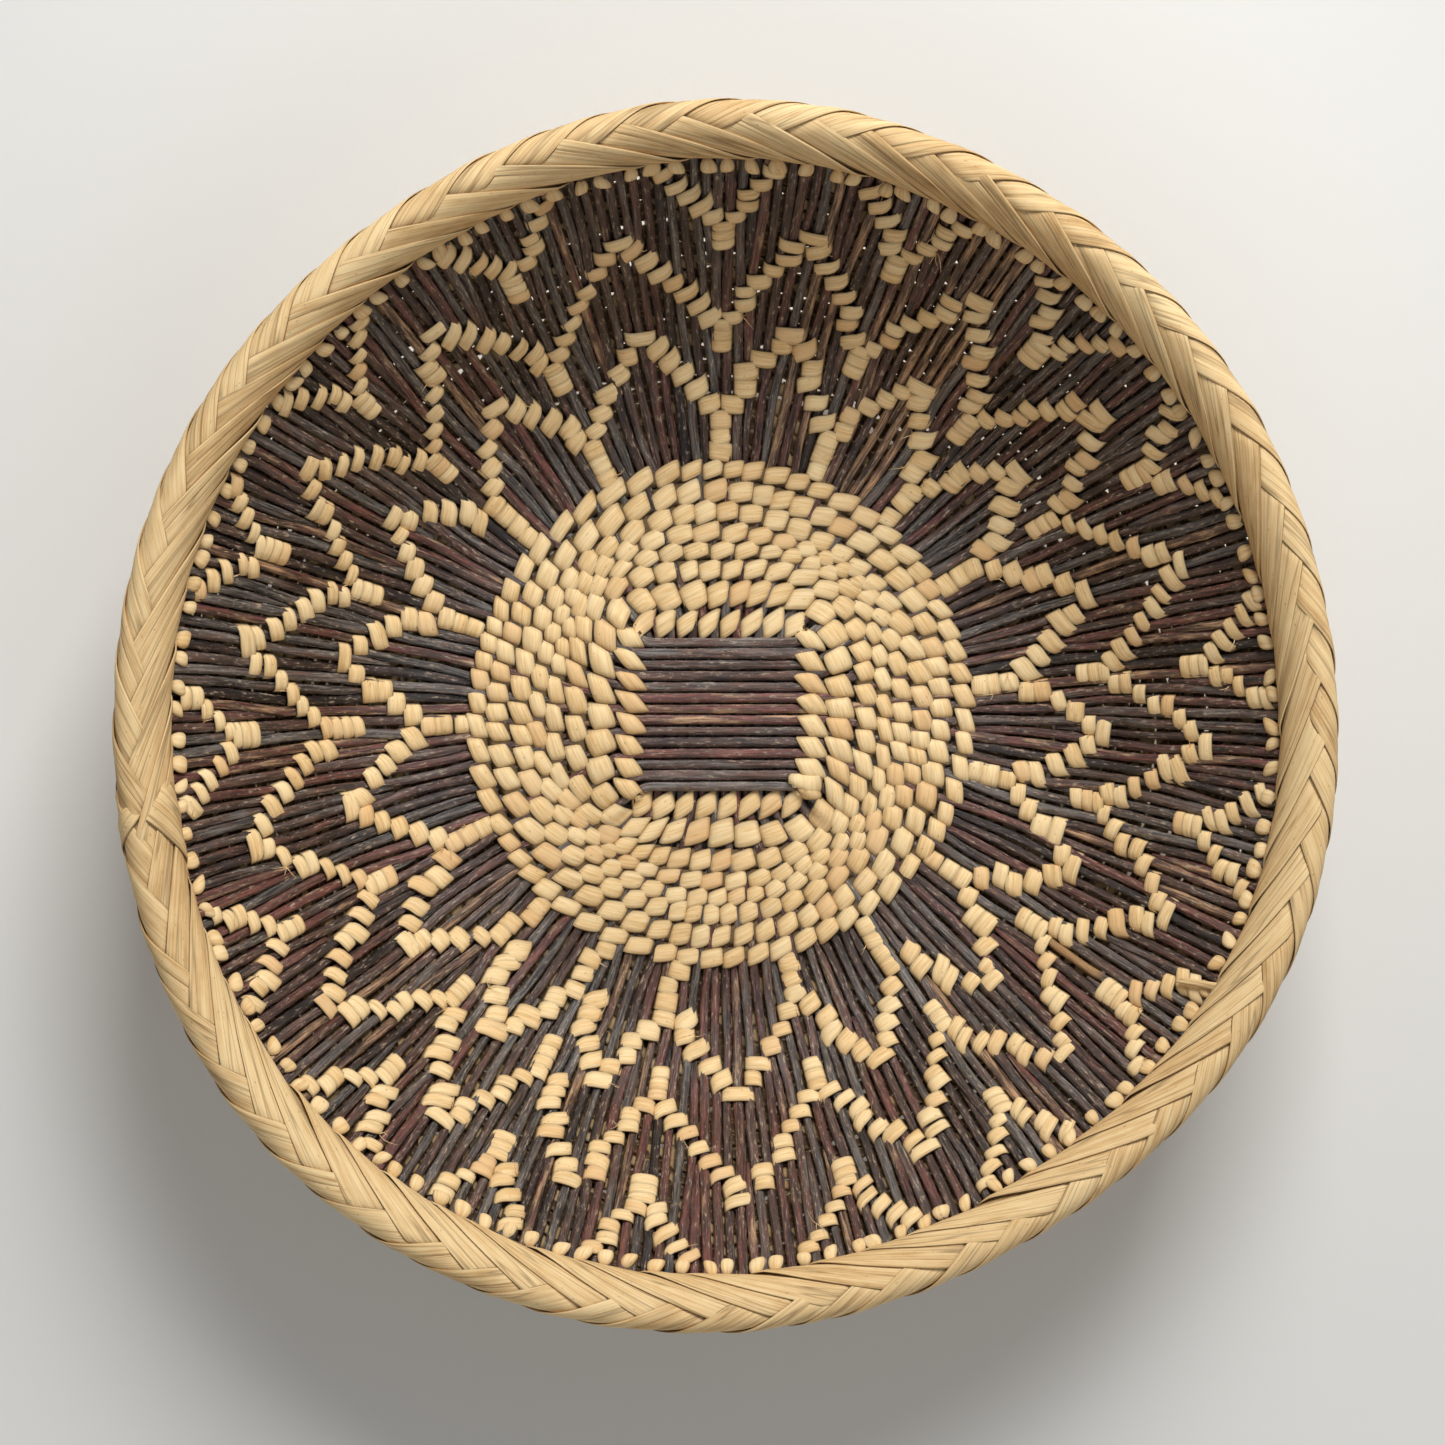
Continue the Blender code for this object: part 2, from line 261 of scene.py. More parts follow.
class StakePlan:
    """Where each stake of the fan stands. The sector of each stick end takes in new stakes as it widens."""

    def __init__(self):
        rng = np.random.default_rng(SEED)
        self.births = np.array((0.0,) + FAN_RADII_MM) * MM
        per_end = len(self.births)
        self.samples = np.linspace(24 * MM, 190 * MM, 220)
        self.table = np.zeros((STICK_ENDS, per_end, len(self.samples)))
        for end in range(STICK_ENDS):
            order = [0]
            places = {0: 0.0}
            offsets = {0: np.zeros_like(self.samples)}
            for new in range(1, per_end):
                slot = int(rng.integers(0, len(order) + 1))
                left = places[order[slot - 1]] if slot > 0 else -0.5
                right = places[order[slot]] if slot < len(order) else 0.5
                order.insert(slot, new)
                before = dict(places)
                before[new] = (left + right) / 2
                places = {stake: (i + 0.5) / len(order) - 0.5 for i, stake in enumerate(order)}
                opened = ease(self.births[new] - LETTING_IN, self.births[new] + LETTING_IN, self.samples)
                offsets[new] = np.full_like(self.samples, before[new])
                for stake in order:
                    offsets[stake] = offsets[stake] + (places[stake] - before[stake]) * opened
            for stake in order:
                phases = rng.uniform(0, TURN, len(SWAYS))
                sway = sum(s * np.sin(self.samples / reach + phase) for (s, reach), phase in zip(SWAYS, phases))
                sway = sway * ease(40 * MM, 70 * MM, self.samples) / self.samples
                self.table[end, stake] = (end - STICKS / 2 + 0.5 + offsets[stake]) * END_SECTOR + sway

    def bearing(self, end, stake, radius):
        return np.interp(radius, self.samples, self.table[end, stake])

    def nearest(self, bearing, radius):
        """The stick end and stake, among those let in by then, that stand nearest to a bearing at a radius."""
        begun = [i for i, birth in enumerate(self.births) if 0 < birth < radius - 20 * MM]
        off = {(end, i): abs((self.bearing(end, i, radius) - bearing + math.pi) % TURN - math.pi)
               for end in range(STICK_ENDS) for i in begun}
        return min(off, key=off.get)

    def standing(self, radius):
        """Sorted bearings of all stakes that have begun at a radius."""
        begun = [i for i, birth in enumerate(self.births) if birth + 2 * MM < radius]
        column = np.array([[self.bearing(end, i, radius) for i in begun] for end in range(STICK_ENDS)])
        return np.sort(column.ravel() % TURN)


@functools.lru_cache(maxsize=1)
def basket_plan():
    """The bowl and its fan of stakes, which every piece is laid by."""
    return Bowl(bpy.context.scene.basket_sizes), StakePlan()


def path_lengths(path):
    """How far along a path each of its points lies."""
    return np.concatenate([[0], np.cumsum(np.linalg.norm(np.diff(path, axis=0), axis=1))])


def closed(values):
    """Values round a section, with the first again at the end."""
    return np.append(values, values[0])


def cell_corners(grid):
    """The four corners of each cell of a grid."""
    corners = np.stack([grid[:-1, :-1], grid[:-1, 1:], grid[1:, 1:], grid[1:, :-1]], axis=2)
    return corners.reshape(-1, 4, *grid.shape[2:])


def packed(sizes):
    """Lays rectangles out in rows on a square sheet. Gives the places of their corners and the sheet's side."""
    gap_share, growth = 0.003, 1.02
    gap = gap_share * math.sqrt(sum(w * h for w, h in sizes))
    order = sorted(range(len(sizes)), key=lambda i: -sizes[i][1])
    places = np.zeros((len(sizes), 2))
    side = growth * math.sqrt(sum((w + gap) * (h + gap) for w, h in sizes))
    while True:
        x = y = tallest = 0.0
        for i in order:
            width, height = sizes[i][0] + gap, sizes[i][1] + gap
            if x + width > side:
                x, y, tallest = 0.0, y + tallest, 0.0
            places[i] = x + gap / 2, y + gap / 2
            x, tallest = x + width, max(tallest, height)
        if y + tallest <= side:
            return places, side
        side *= growth


class Strands:
    """Collects strands, each a grid of section loops along its path, into one mesh of closed solids."""

    def __init__(self):
        self.points, self.faces, self.fibre, self.marks = [], [], [], []
        self.sheet, self.sheet_part, self.parts = [], [], []
        self.count = 0

    def add(self, grid, across, along, tone=0.0, hue=0.0, edge=0.0, wear=0.0, ring=False):
        """Adds a strand. The fibre map takes metres across and along. Tone, hue, edge and wear are its marks, for
        each point or for the whole strand. The edge mark darkens towards brown, both for cut edges and for painted
        shade."""
        stations, sides = grid.shape[:2]
        index = np.arange(stations * sides).reshape(stations, sides)
        cells = np.vstack([index, index[:1]]) if ring else index
        quads = cell_corners(np.hstack([cells, cells[:, :1]]))
        maps = np.stack(np.broadcast_arrays(across[None, :], along[:, None]), axis=-1)
        flat = grid.reshape(-1, 3)
        a, b, c, d = (flat[quads[:, i]] - flat.mean(0) for i in range(4))
        volume = np.sum(a * (np.cross(b, c) + np.cross(c, d)))
        step = 1 if volume > 0 else -1
        self.faces += (quads[:, ::step] + self.count).tolist()
        self.fibre.append(cell_corners(maps)[:, ::step].reshape(-1, 2))
        self.lay_out(grid, ring, step)
        if not ring:
            angle = TURN * np.arange(sides) / sides
            for cap, row in ((index[0][::-step], 0), (index[-1][::step], -1)):
                self.faces.append((cap + self.count).tolist())
                self.fibre.append(maps[row, :sides])
                self.sheet.append(CAP_ON_SHEET / 2 * (1 + np.stack([np.cos(angle), np.sin(angle)], axis=1)))
                self.sheet_part.append(np.full(sides, len(self.parts)))
                self.parts.append((CAP_ON_SHEET, CAP_ON_SHEET))
        self.points.append(flat)
        marks = np.broadcast_arrays(tone, hue, edge, wear, grid[..., 0])[:4]
        self.marks.append(np.stack(marks, axis=-1).reshape(-1, 4))
        self.count += len(flat)

    def lay_out(self, grid, ring, step):
        """Unrolls a strand into flat parts, which the sheet later holds side by side."""
        rows = np.vstack([grid, grid[:1]]) if ring else grid
        loop = grid[len(grid) // 2]
        girth = path_lengths(np.vstack([loop, loop[:1]]))
        along = path_lengths(rows.mean(1))
        cells = len(rows) - 1
        count = min(cells, math.ceil(along[-1] / LONGEST_ON_SHEET))
        part = np.arange(cells) * count // cells
        starts = along[np.searchsorted(part, np.arange(count))]
        low, high = along[:-1] - starts[part], along[1:] - starts[part]
        self.parts += [(girth[-1], high[part == k].max()) for k in range(count)]
        u = np.stack([girth[:-1], girth[1:], girth[1:], girth[:-1]], axis=-1)[None] + np.zeros((cells, 1, 1))
        v = np.stack([low, low, high, high], axis=-1)[:, None] + np.zeros((1, len(loop), 1))
        self.sheet.append(np.stack([u, v], axis=-1).reshape(-1, 4, 2)[:, ::step].reshape(-1, 2))
        self.sheet_part.append(np.repeat(part + len(self.parts) - count, 4 * len(loop)))

    def piece(self, name, material, slot, *nodes):
        """Makes the object, which rides on the basket and stands for the given CAD nodes."""
        mesh = bpy.data.meshes.new(name)
        mesh.from_pydata(np.vstack(self.points).tolist(), [], self.faces)
        mesh.uv_layers.new(name="Fibre").data.foreach_set("uv", np.vstack(self.fibre).astype(np.float32).ravel())
        places, side = packed(self.parts)
        spread = (np.vstack(self.sheet) + places[np.concatenate(self.sheet_part)]) / side
        mesh.uv_layers.new(name="OFBake").data.foreach_set("uv", spread.astype(np.float32).ravel())
        mark = mesh.attributes.new("strand", "FLOAT_COLOR", "POINT")
        mark.data.foreach_set("color", np.vstack(self.marks).astype(np.float32).ravel())
        mesh.shade_smooth()
        mesh.materials.append(material)
        made = bpy.data.objects.new(name, mesh)
        bpy.context.scene.collection.objects.link(made)
        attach(made, "root")
        if nodes:
            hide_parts(*nodes)


def add_node(tree, kind, inputs=None, stops=(), **settings):
    """Adds a node, sets its settings and the stops of its ramp, and sets its inputs or links them to a socket or to
    the first output that a node uses."""
    node = tree.nodes.new("ShaderNode" + kind)
    for key, value in settings.items():
        setattr(node, key, value)
    for i, (place, shade) in enumerate(stops):
        elements = node.color_ramp.elements
        element = elements[i] if i < len(elements) else elements.new(place)
        element.position, element.color = place, shade
    for key, value in (inputs or {}).items():
        if isinstance(value, bpy.types.Node):
            value = next(socket for socket in value.outputs if socket.enabled)
        if isinstance(value, bpy.types.NodeSocket):
            tree.links.new(value, node.inputs[key])
        else:
            node.inputs[key].default_value = value
    return node


def shader_tree(name):
    """Finds or makes a material and empties its tree. Gives it with add_node bound to that tree."""
    material = bpy.data.materials.get(name) or bpy.data.materials.new(name)
    material.use_nodes = True
    material.node_tree.nodes.clear()
    return material, functools.partial(add_node, material.node_tree)


def strand_tree(name, *patterns):
    """Starts a strand's material. Gives it with the function that adds its nodes, the strand's marks (tone, hue,
    edge and wear) and noise patterns along the strand, each from its width and length in mm, detail and roughness."""
    material, add = shader_tree(name)
    uv = add("UVMap", uv_map="Fibre")
    strand = add("Attribute", attribute_name="strand")
    marks = add("SeparateColor", {"Color": strand.outputs["Color"]}).outputs
    drawn = []
    for width_mm, length_mm, detail, roughness in patterns:
        scale = (1 / (width_mm * MM), 1 / (length_mm * MM), 0)
        place = add("VectorMath", {0: uv, 1: scale}, operation="MULTIPLY")
        drawn.append(add("TexNoise", {"Vector": place, "Scale": 1.0, "Detail": detail, "Roughness": roughness},
                         noise_dimensions="2D"))
    return material, add, (*marks, strand.outputs["Alpha"]), drawn


# Finishes of split leaf and wood: name, colours (light, middle, dark, warm, aged and edge, the last also used for
# painted shade), width and length of the fibres and distance between splits in mm, strength of the splits, and how
# far strips differ in tone. Real fibres are about 0.2 mm wide, too fine to show in the render, so they are drawn as
# coarse as they need to show.
STRIP_FINISHES = {
    "weft": ("palm_leaf_twined",
             ("palm_light", "palm_middle", "palm_dark", "palm_peach", "aged_middle", "palm_edge_and_shade"),
             0.6, 9.0, 9.0, 0.14, 0.26),
    "binding": ("palm_leaf_plaited",
                ("binding_light", "binding_middle", "binding_dark", "palm_peach", "aged_middle", "palm_edge_and_shade"),
                0.7, 40.0, 3.6, 0.45, 0.26),
    "hoop": ("split_wood_hoop",
             ("binding_dark", "hoop", "palm_edge_and_shade", "hoop", "hoop", "palm_edge_and_shade"),
             0.8, 25.0, 4.0, 0.30, 0.2),
}


def split_strip(name, shades, fibre_mm, streak_mm, split_mm, split_strength, tone_share):
    """Split palm leaf, dried and woven dull side out. The eye sees long straight fibres, strips that differ a
    little in tone, brown cut edges and tucked ends, painted shade in the seams and where stitches dive between the
    sticks, a few freckles and a soft waxy sheen. The split wood of the hoops shows the same fibres and splits in
    brown."""
    colours = bpy.context.scene.basket_colours
    light, middle, dark, warm, aged, edge = (tuple(getattr(colours, shade)) for shade in shades)
    material, add, (red, hue, cut, wear), (fibre, blotch, freckle, split) = strand_tree(
        name, (fibre_mm, streak_mm, 3.0, 0.6), (2.4, 9.0, 2.0, 0.5), (0.9, 1.5, 0.0, 0.5), (split_mm, 90.0, 1.0, 0.5)
    )
    mixed = add("Math", {0: blotch, 1: 0.45, 2: fibre}, operation="MULTIPLY_ADD")
    tone = add("Math", {0: red, 1: tone_share, 2: -0.5 * tone_share}, operation="MULTIPLY_ADD")
    level = add("Math", {0: mixed, 1: tone}, operation="ADD")
    shade = add("ValToRGB", {"Fac": level}, ((0.38, dark), (0.66, middle), (0.95, light)))
    warmth = add("MapRange", {"Value": hue, "From Min": 0.80, "To Max": 0.6})
    warmed = add("Mix", {"Factor": warmth, 6: shade, 7: warm}, data_type="RGBA")
    dulled = add("Mix", {"Factor": wear, 6: warmed, 7: aged}, data_type="RGBA")
    spots = add("MapRange", {"Value": freckle, "From Min": 0.82, "From Max": 0.90, "To Max": 0.30})
    # A leaf splits along its fibres: thin brown lines, wherever a slow noise crosses its middle.
    centred = add("Math", {0: split, 1: 0.5}, operation="SUBTRACT")
    near = add("Math", {0: centred}, operation="ABSOLUTE")
    line = add("MapRange", {"Value": near, "From Max": 0.035, "To Min": split_strength, "To Max": 0.0})
    drawn = add("Math", {0: line, 1: spots}, operation="MAXIMUM")
    # The edge mark mixes in the cut-edge brown. At cut edges it is real, and in seams, at stitch ends and behind the
    # sticks it is painted shade.
    edge_and_shade_mask = add("Math", {0: cut, 1: drawn}, operation="MAXIMUM")
    edged_and_shaded = add("Mix", {"Factor": edge_and_shade_mask, 6: dulled, 7: edge}, data_type="RGBA")
    rough = add("MapRange", {"Value": fibre, "From Min": 0.3, "From Max": 0.7, "To Min": 0.78, "To Max": 0.62})
    bump = add("Bump", {"Height": mixed, "Strength": 0.4, "Distance": 0.2 * MM})
    surface = add("BsdfPrincipled", {"Base Color": edged_and_shaded, "IOR": 1.46, "Specular IOR Level": 0.35,
                                     "Roughness": rough, "Normal": bump})
    add("OutputMaterial", {"Surface": surface})
    return material


BARK = "bark_dried_on_stick"
BARK_SHADES = ((0.0, "bark_black"), (0.24, "bark_brown"), (0.45, "bark_slate"), (0.62, "bark_brown"),
               (0.84, "bark_red"), (0.89, "bark_brown"), (1.0, "bark_tan"))


def stick_bark():
    """Thin shoots dried with the bark on. The eye sees near-black, brown, slate and reddish sticks with long
    fine furrows, a dull gleam along the crown and pale nicks where the bark was rubbed. Real furrows are about
    0.3 mm wide, too fine to show in the render, so they are drawn 0.8 mm wide."""
    colours = bpy.context.scene.basket_colours
    material, add, (red, hue, _, wear), (furrow, patch, nick) = strand_tree(
        BARK, (0.8, 14.0, 5.0, 0.7), (2.2, 14.0, 2.0, 0.5), (0.7, 3.0, 4.0, 0.7)
    )
    pick = add("Math", {0: patch, 1: 0.5, 2: hue}, operation="MULTIPLY_ADD")
    shifted = add("Math", {0: pick, 1: 0.25}, operation="SUBTRACT")
    bark = add("ValToRGB", {"Fac": shifted}, [(place, getattr(colours, shade)) for place, shade in BARK_SHADES])
    streak = add("MapRange", {"Value": furrow, "From Min": 0.40, "From Max": 0.62, "To Min": 0.0, "To Max": 1.95})
    # The tone mark brightens the bark. It holds the stick's own tone and, in the square, a painted highlight.
    light = add("Math", {0: streak, 1: red}, operation="ADD")
    scaled = add("VectorMath", {0: bark, "Scale": light}, operation="SCALE")
    cluster = add("Math", {0: patch, 1: 0.25, 2: nick}, operation="MULTIPLY_ADD")
    scuffs = add("MapRange", {"Value": cluster, "From Min": 0.725, "From Max": 0.80, "To Max": 0.75})
    scuffed = add("Mix", {"Factor": scuffs, 6: scaled, 7: tuple(colours.bark_scuff)}, data_type="RGBA")
    bared = add("Mix", {"Factor": wear, 6: scuffed, 7: tuple(colours.bared)}, data_type="RGBA")
    rough = add("MapRange", {"Value": furrow, "From Min": 0.3, "From Max": 0.7, "To Min": 0.46, "To Max": 0.28})
    bump = add("Bump", {"Height": furrow, "Strength": 1.0, "Distance": 0.7 * MM})
    surface = add("BsdfPrincipled", {"Base Color": bared, "IOR": 1.48, "Specular IOR Level": 1.0,
                                     "Roughness": rough, "Normal": bump})
    add("OutputMaterial", {"Surface": surface})
    return material


def basket_material(kind):
    """Finds or makes one of the basket's materials."""
    if kind == "bark":
        return bpy.data.materials.get(BARK) or stick_bark()
    finish = STRIP_FINISHES[kind]
    return bpy.data.materials.get(finish[0]) or split_strip(*finish)


def tube(path, radii, sides):
    """Section loops of a round stick along a path."""
    tangent = np.gradient(path, axis=0)
    tangent /= np.linalg.norm(tangent, axis=1, keepdims=True)
    side = np.cross(tangent, UP)
    side /= np.linalg.norm(side, axis=1, keepdims=True)
    over = np.cross(side, tangent)
    angle = np.linspace(0, TURN, sides, endpoint=False) - math.pi / 2
    ring = np.cos(angle)[None, :, None] * side[:, None] + np.sin(angle)[None, :, None] * over[:, None]
    return path[:, None] + radii[:, :, None] * ring


def middle_share(path):
    """1 in the square, where the sticks are at their thickest and their bark takes a painted highlight, falling to 0
    further out.
    """
    return 1 - ease(30 * MM, 60 * MM, np.hypot(path[:, 0], path[:, 1]))


def bark_marks(rng, path, peeled):
    """Shade and hue of one stick, with a painted highlight that makes it paler in the square, where the light
    falls straight on it. A peeled one has lost its bark on a stretch half way up the wall."""
    radius = np.hypot(path[:, :1], path[:, 1:2])
    return {
        # The stick's own random tone, plus a painted highlight in the square.
        "tone": rng.uniform(0.0, 0.72) + 0.42 * middle_share(path)[:, None],
        "hue": rng.uniform(0, 1),
        "wear": peeled * ease(117 * MM, 122 * MM, radius) * (1 - ease(139 * MM, 143 * MM, radius)),
    }


def add_stick(strands, rng, path, taper, least=0.90, peeled=False):
    """Adds one stick with its bark: uneven thickness, a knot or two, its own shade."""
    sizes = bpy.context.scene.basket_sizes
    along = path_lengths(path)
    radii = sizes.stick_diameter / 2 * rng.uniform(least, 1.08) * taper
    radii = radii * (1 + 0.04 * np.sin(along / (9 * MM) + rng.uniform(0, TURN)))
    for knot in rng.uniform(0, along[-1], rng.integers(1, 4)):
        radii = radii + 0.22 * MM * np.exp(-((along - knot) / (1.6 * MM)) ** 2)
    lumps = rng.normal(0, 0.04, (len(path), STICK_SIDES)) + rng.normal(0, 0.05, STICK_SIDES)
    across = np.linspace(0, math.pi * sizes.stick_diameter, STICK_SIDES + 1) + rng.uniform(0, 1)
    grid = tube(path, radii[:, None] * (1 + lumps), STICK_SIDES)
    strands.add(grid, across, along + rng.uniform(0, 1), **bark_marks(rng, path, peeled))


def wall_path(rng, end, stake, start):
    """The path of one stake of the fan, from where it begins to the middle of the rim."""
    bowl, plan = basket_plan()
    arc = np.arange(start, bowl.roll_arc + 3 * MM, 2.0 * MM)
    radius = bowl.profile(arc)[0]
    bearing = plan.bearing(end, stake, radius)
    depth = rng.uniform(-0.45, 0.35) * MM + 0.12 * MM * np.sin(arc / (7 * MM) + rng.uniform(0, TURN))
    depth = depth * ease(40 * MM, 80 * MM, radius) + bowl.lift(bearing, radius)
    return arc, bowl.point(arc, bearing, depth)


def middle_stretch(place, across):
    """The straight part of a stick where it crosses the square, and the radius where it begins to fan."""
    sizes = bpy.context.scene.basket_sizes
    turn = abs(place) * END_SECTOR
    corner = abs(place) * sizes.stick_pitch / math.sin(turn)
    reach = corner * math.cos(turn)
    run = np.arange(reach + 1.0 * MM, -reach - 1.5 * MM, -2.0 * MM)
    side = np.full_like(run, place * sizes.stick_pitch)
    height = np.full_like(run, sizes.stake_level + (sizes.cross_lift if across else 0))
    flat = [run, side, height] if across else [-side, run, height]
    return corner, np.stack(flat, axis=1)


class BASKET_OT_sticks(bpy.types.Operator):
    """Crossed sticks that fan out and curve up to the rim, each with the bye-stakes spliced in beside its ends"""

    bl_idname = "basket.sticks"
    bl_label = "Sticks"

    def execute(self, context):
        bowl, plan = basket_plan()
        bark = basket_material("bark")
        rng = np.random.default_rng(SEED + 1)
        peeled = plan.nearest(math.radians(PEELED_BEARING), PEELED_RADIUS)
        for across in (True, False):
            for number in range(STICKS):
                first = number if across else STICKS + number
                ends = first, (3 * STICKS if across else STICK_ENDS) - 1 - number
                corner, middle = middle_stretch(number - STICKS / 2 + 0.5, across)
                strands = Strands()
                arms = [wall_path(rng, end, 0, corner + 4.5 * MM)[1] for end in ends]
                path = np.vstack([arms[0][::-1], middle, arms[1]])
                for _ in range(3):
                    path[1:-1] = (path[:-2] + 2 * path[1:-1] + path[2:]) / 4
                add_stick(strands, rng, path, 1.0 + rng.uniform(-0.06, 0.12) * middle_share(path), 0.92)
                for end in ends:
                    for stake in range(1, len(plan.births)):
                        start = bowl.arc_at(plan.births[stake] - 6 * MM)
                        arc, path = wall_path(rng, end, stake, start)
                        add_stick(strands, rng, path, 0.45 + 0.55 * ease(start, start + 16 * MM, arc),
                                  peeled=(end, stake) == peeled)
                node = ("across" if across else "down") + f"_stick_{number + 1:02d}"
                strands.piece("bark_" + node, bark, "dark_bark", node)
        return {"FINISHED"}


class Row:
    """One row of weft: a closed line round the bowl, square near the middle and round further out."""

    def __init__(self, number, arc, pitch, squareness=2.0):
        self.number = number
        self.pitch = pitch
        bowl = basket_plan()[0]
        # Half a degree apart, and half a turn past either end, so that a stitch may lie across the start.
        self.bearings = np.linspace(-0.5 * TURN, 1.5 * TURN, 1441)
        cosine, sine = np.abs(np.cos(self.bearings)), np.abs(np.sin(self.bearings))
        shape = (cosine ** squareness + sine ** squareness) ** (-1 / squareness)
        rng = np.random.default_rng(SEED + 100 + number)
        drift = sum(0.35 * MM * np.cos(k * self.bearings + rng.uniform(0, TURN)) for k in (3, 5))
        self.arcs = arc * shape + drift
        radius = bowl.profile(self.arcs)[0]
        step = np.hypot(np.gradient(self.arcs), radius * np.gradient(self.bearings))
        self.lengths = np.cumsum(step)
        self.lengths -= np.interp(0, self.bearings, self.lengths)
        self.total = np.interp(TURN, self.bearings, self.lengths)
        self.radius = float(bowl.profile(arc)[0])
        self.square = squareness > 10

    def turned(self, run):
        """How far the sticks under a place on the row are turned from the line through the middle: the square's
        sticks still lie side by side, and those further out already fan."""
        bearing = self.at(run)[0]
        return (bearing + TURN / 8) % (TURN / 4) - TURN / 8 if self.square else 0.0

    def at(self, run):
        """Bearing and arc at a length along the row."""
        bearing = np.interp(run, self.lengths, self.bearings)
        return bearing, np.interp(bearing, self.bearings, self.arcs)

    def run_at(self, bearing):
        return np.interp(bearing % TURN, self.bearings, self.lengths)


@functools.lru_cache(maxsize=1)
def weft_rows():
    """All rows of weft from the middle to the rim, closer together towards the rim."""
    rows = []
    spaces = np.diff(DISC_ROWS_MM, append=DISC_ROWS_MM[-1] + 6.0)
    for arc, space, squareness in zip(DISC_ROWS_MM, spaces, DISC_SQUARENESS):
        rows.append(Row(len(rows) + 1, arc * MM, space * MM, squareness))
    arc = DISC_ROWS_MM[-1]
    for count, pitch in WALL_ROWS_MM:
        for _ in range(count):
            arc += pitch
            rows.append(Row(len(rows) + 1, arc * MM, pitch * MM))
    return rows


# A stitch from end to end, its section as shares of its half width and its crown, and how dark the section's sides
# are: brown at the cut edges, and painted shade on the top face next to them and on the underside against the sticks.
STATIONS = np.array((-1, -0.95, -0.84, -0.62, -0.3, 0, 0.3, 0.62, 0.84, 0.95, 1))
LENS = np.array(((-1, 0.1), (-0.88, 0.55), (-0.5, 0.9), (0, 1), (0.5, 0.9), (0.88, 0.55), (1, 0.1),
                 (0.85, -0.25), (0, -0.4), (-0.85, -0.25)))
LENS_EDGE_AND_SHADE = np.array((1, 0.35, 0, 0, 0, 0.35, 1, 1, 1, 1))


def add_stitch(strands, rng, row, run, reach, width, shift=0.0, slant=0.0, shear=0.0, rise=0.0, crown=0.0,
               tuck=0.9 * MM, pinch=0.25, hook=0.0, brown=0.85, face=1):
    """Adds one stitch: a strip of palm that comes out between two sticks, lies over them and goes back in."""
    bowl = basket_plan()[0]
    place = STATIONS[:, None]
    over = place * reach
    half = width / 2 * np.maximum(1 - np.abs(place) ** 3, 0.03) ** pinch
    side = LENS[None, :, 0] * half
    bearing, arc = row.at(run + over - shear * side)
    height = (rise + tuck) * np.maximum(1 - np.abs(place) ** 3.5, 0) ** 0.6 - tuck
    height = height + LENS[None, :, 1] * crown * (1 - 0.4 * place ** 2)
    away = shift + slant * over * (1 + hook * place ** 2) + side
    turned = row.turned(run)
    bearing = bearing - away * math.sin(turned) / arc
    arc = arc + away * math.cos(turned)
    radius = bowl.profile(arc)[0]
    grid = bowl.point(arc, bearing, face * height + bowl.lift(bearing, radius))
    tone, hue = rng.uniform(0, 1, 2)
    # Painted shade: darker towards the long edges and, from brown on, towards the ends where the stitch dives between
    # the sticks. The cut edges are also brown.
    edge = np.maximum(0.95 * LENS_EDGE_AND_SHADE[None, :], 0.9 * ease(brown, 0.98, np.abs(place)))
    across = closed(LENS[:, 0]) * width / 2 + rng.uniform(0, 1)
    strands.add(grid, across, STATIONS * reach + rng.uniform(0, 1), tone, hue, edge)


def add_hair(strands, rng, start, way, reach):
    """Adds one frayed fibre that stands off a strip's end and curls."""
    place = np.linspace(0, 1, 7)[:, None]
    curl = rng.normal(0, 0.3, 3) * reach
    path = start + way * reach * place + curl * place ** 2
    sides = 4
    grid = tube(path, 0.16 * MM * (1 - 0.75 * place) * np.ones(sides), sides)
    strands.add(grid, np.linspace(0, 1 * MM, sides + 1), path_lengths(path) + rng.uniform(0, 1), tone=0.6)


def row_ring(row, count):
    """Stations of a strand that runs all round a row: lengths, bearings, arcs and the angles of its six sides."""
    run = np.arange(count) * row.total / count
    bearing, arc = row.at(run)
    angle = np.linspace(0, TURN, 7)[:-1]
    return run, bearing[:, None] + 0 * angle, arc[:, None], angle


def following(places):
    """The place after each of some places round a row, as shares of its length."""
    return np.append(places[1:], places[0] + 1)


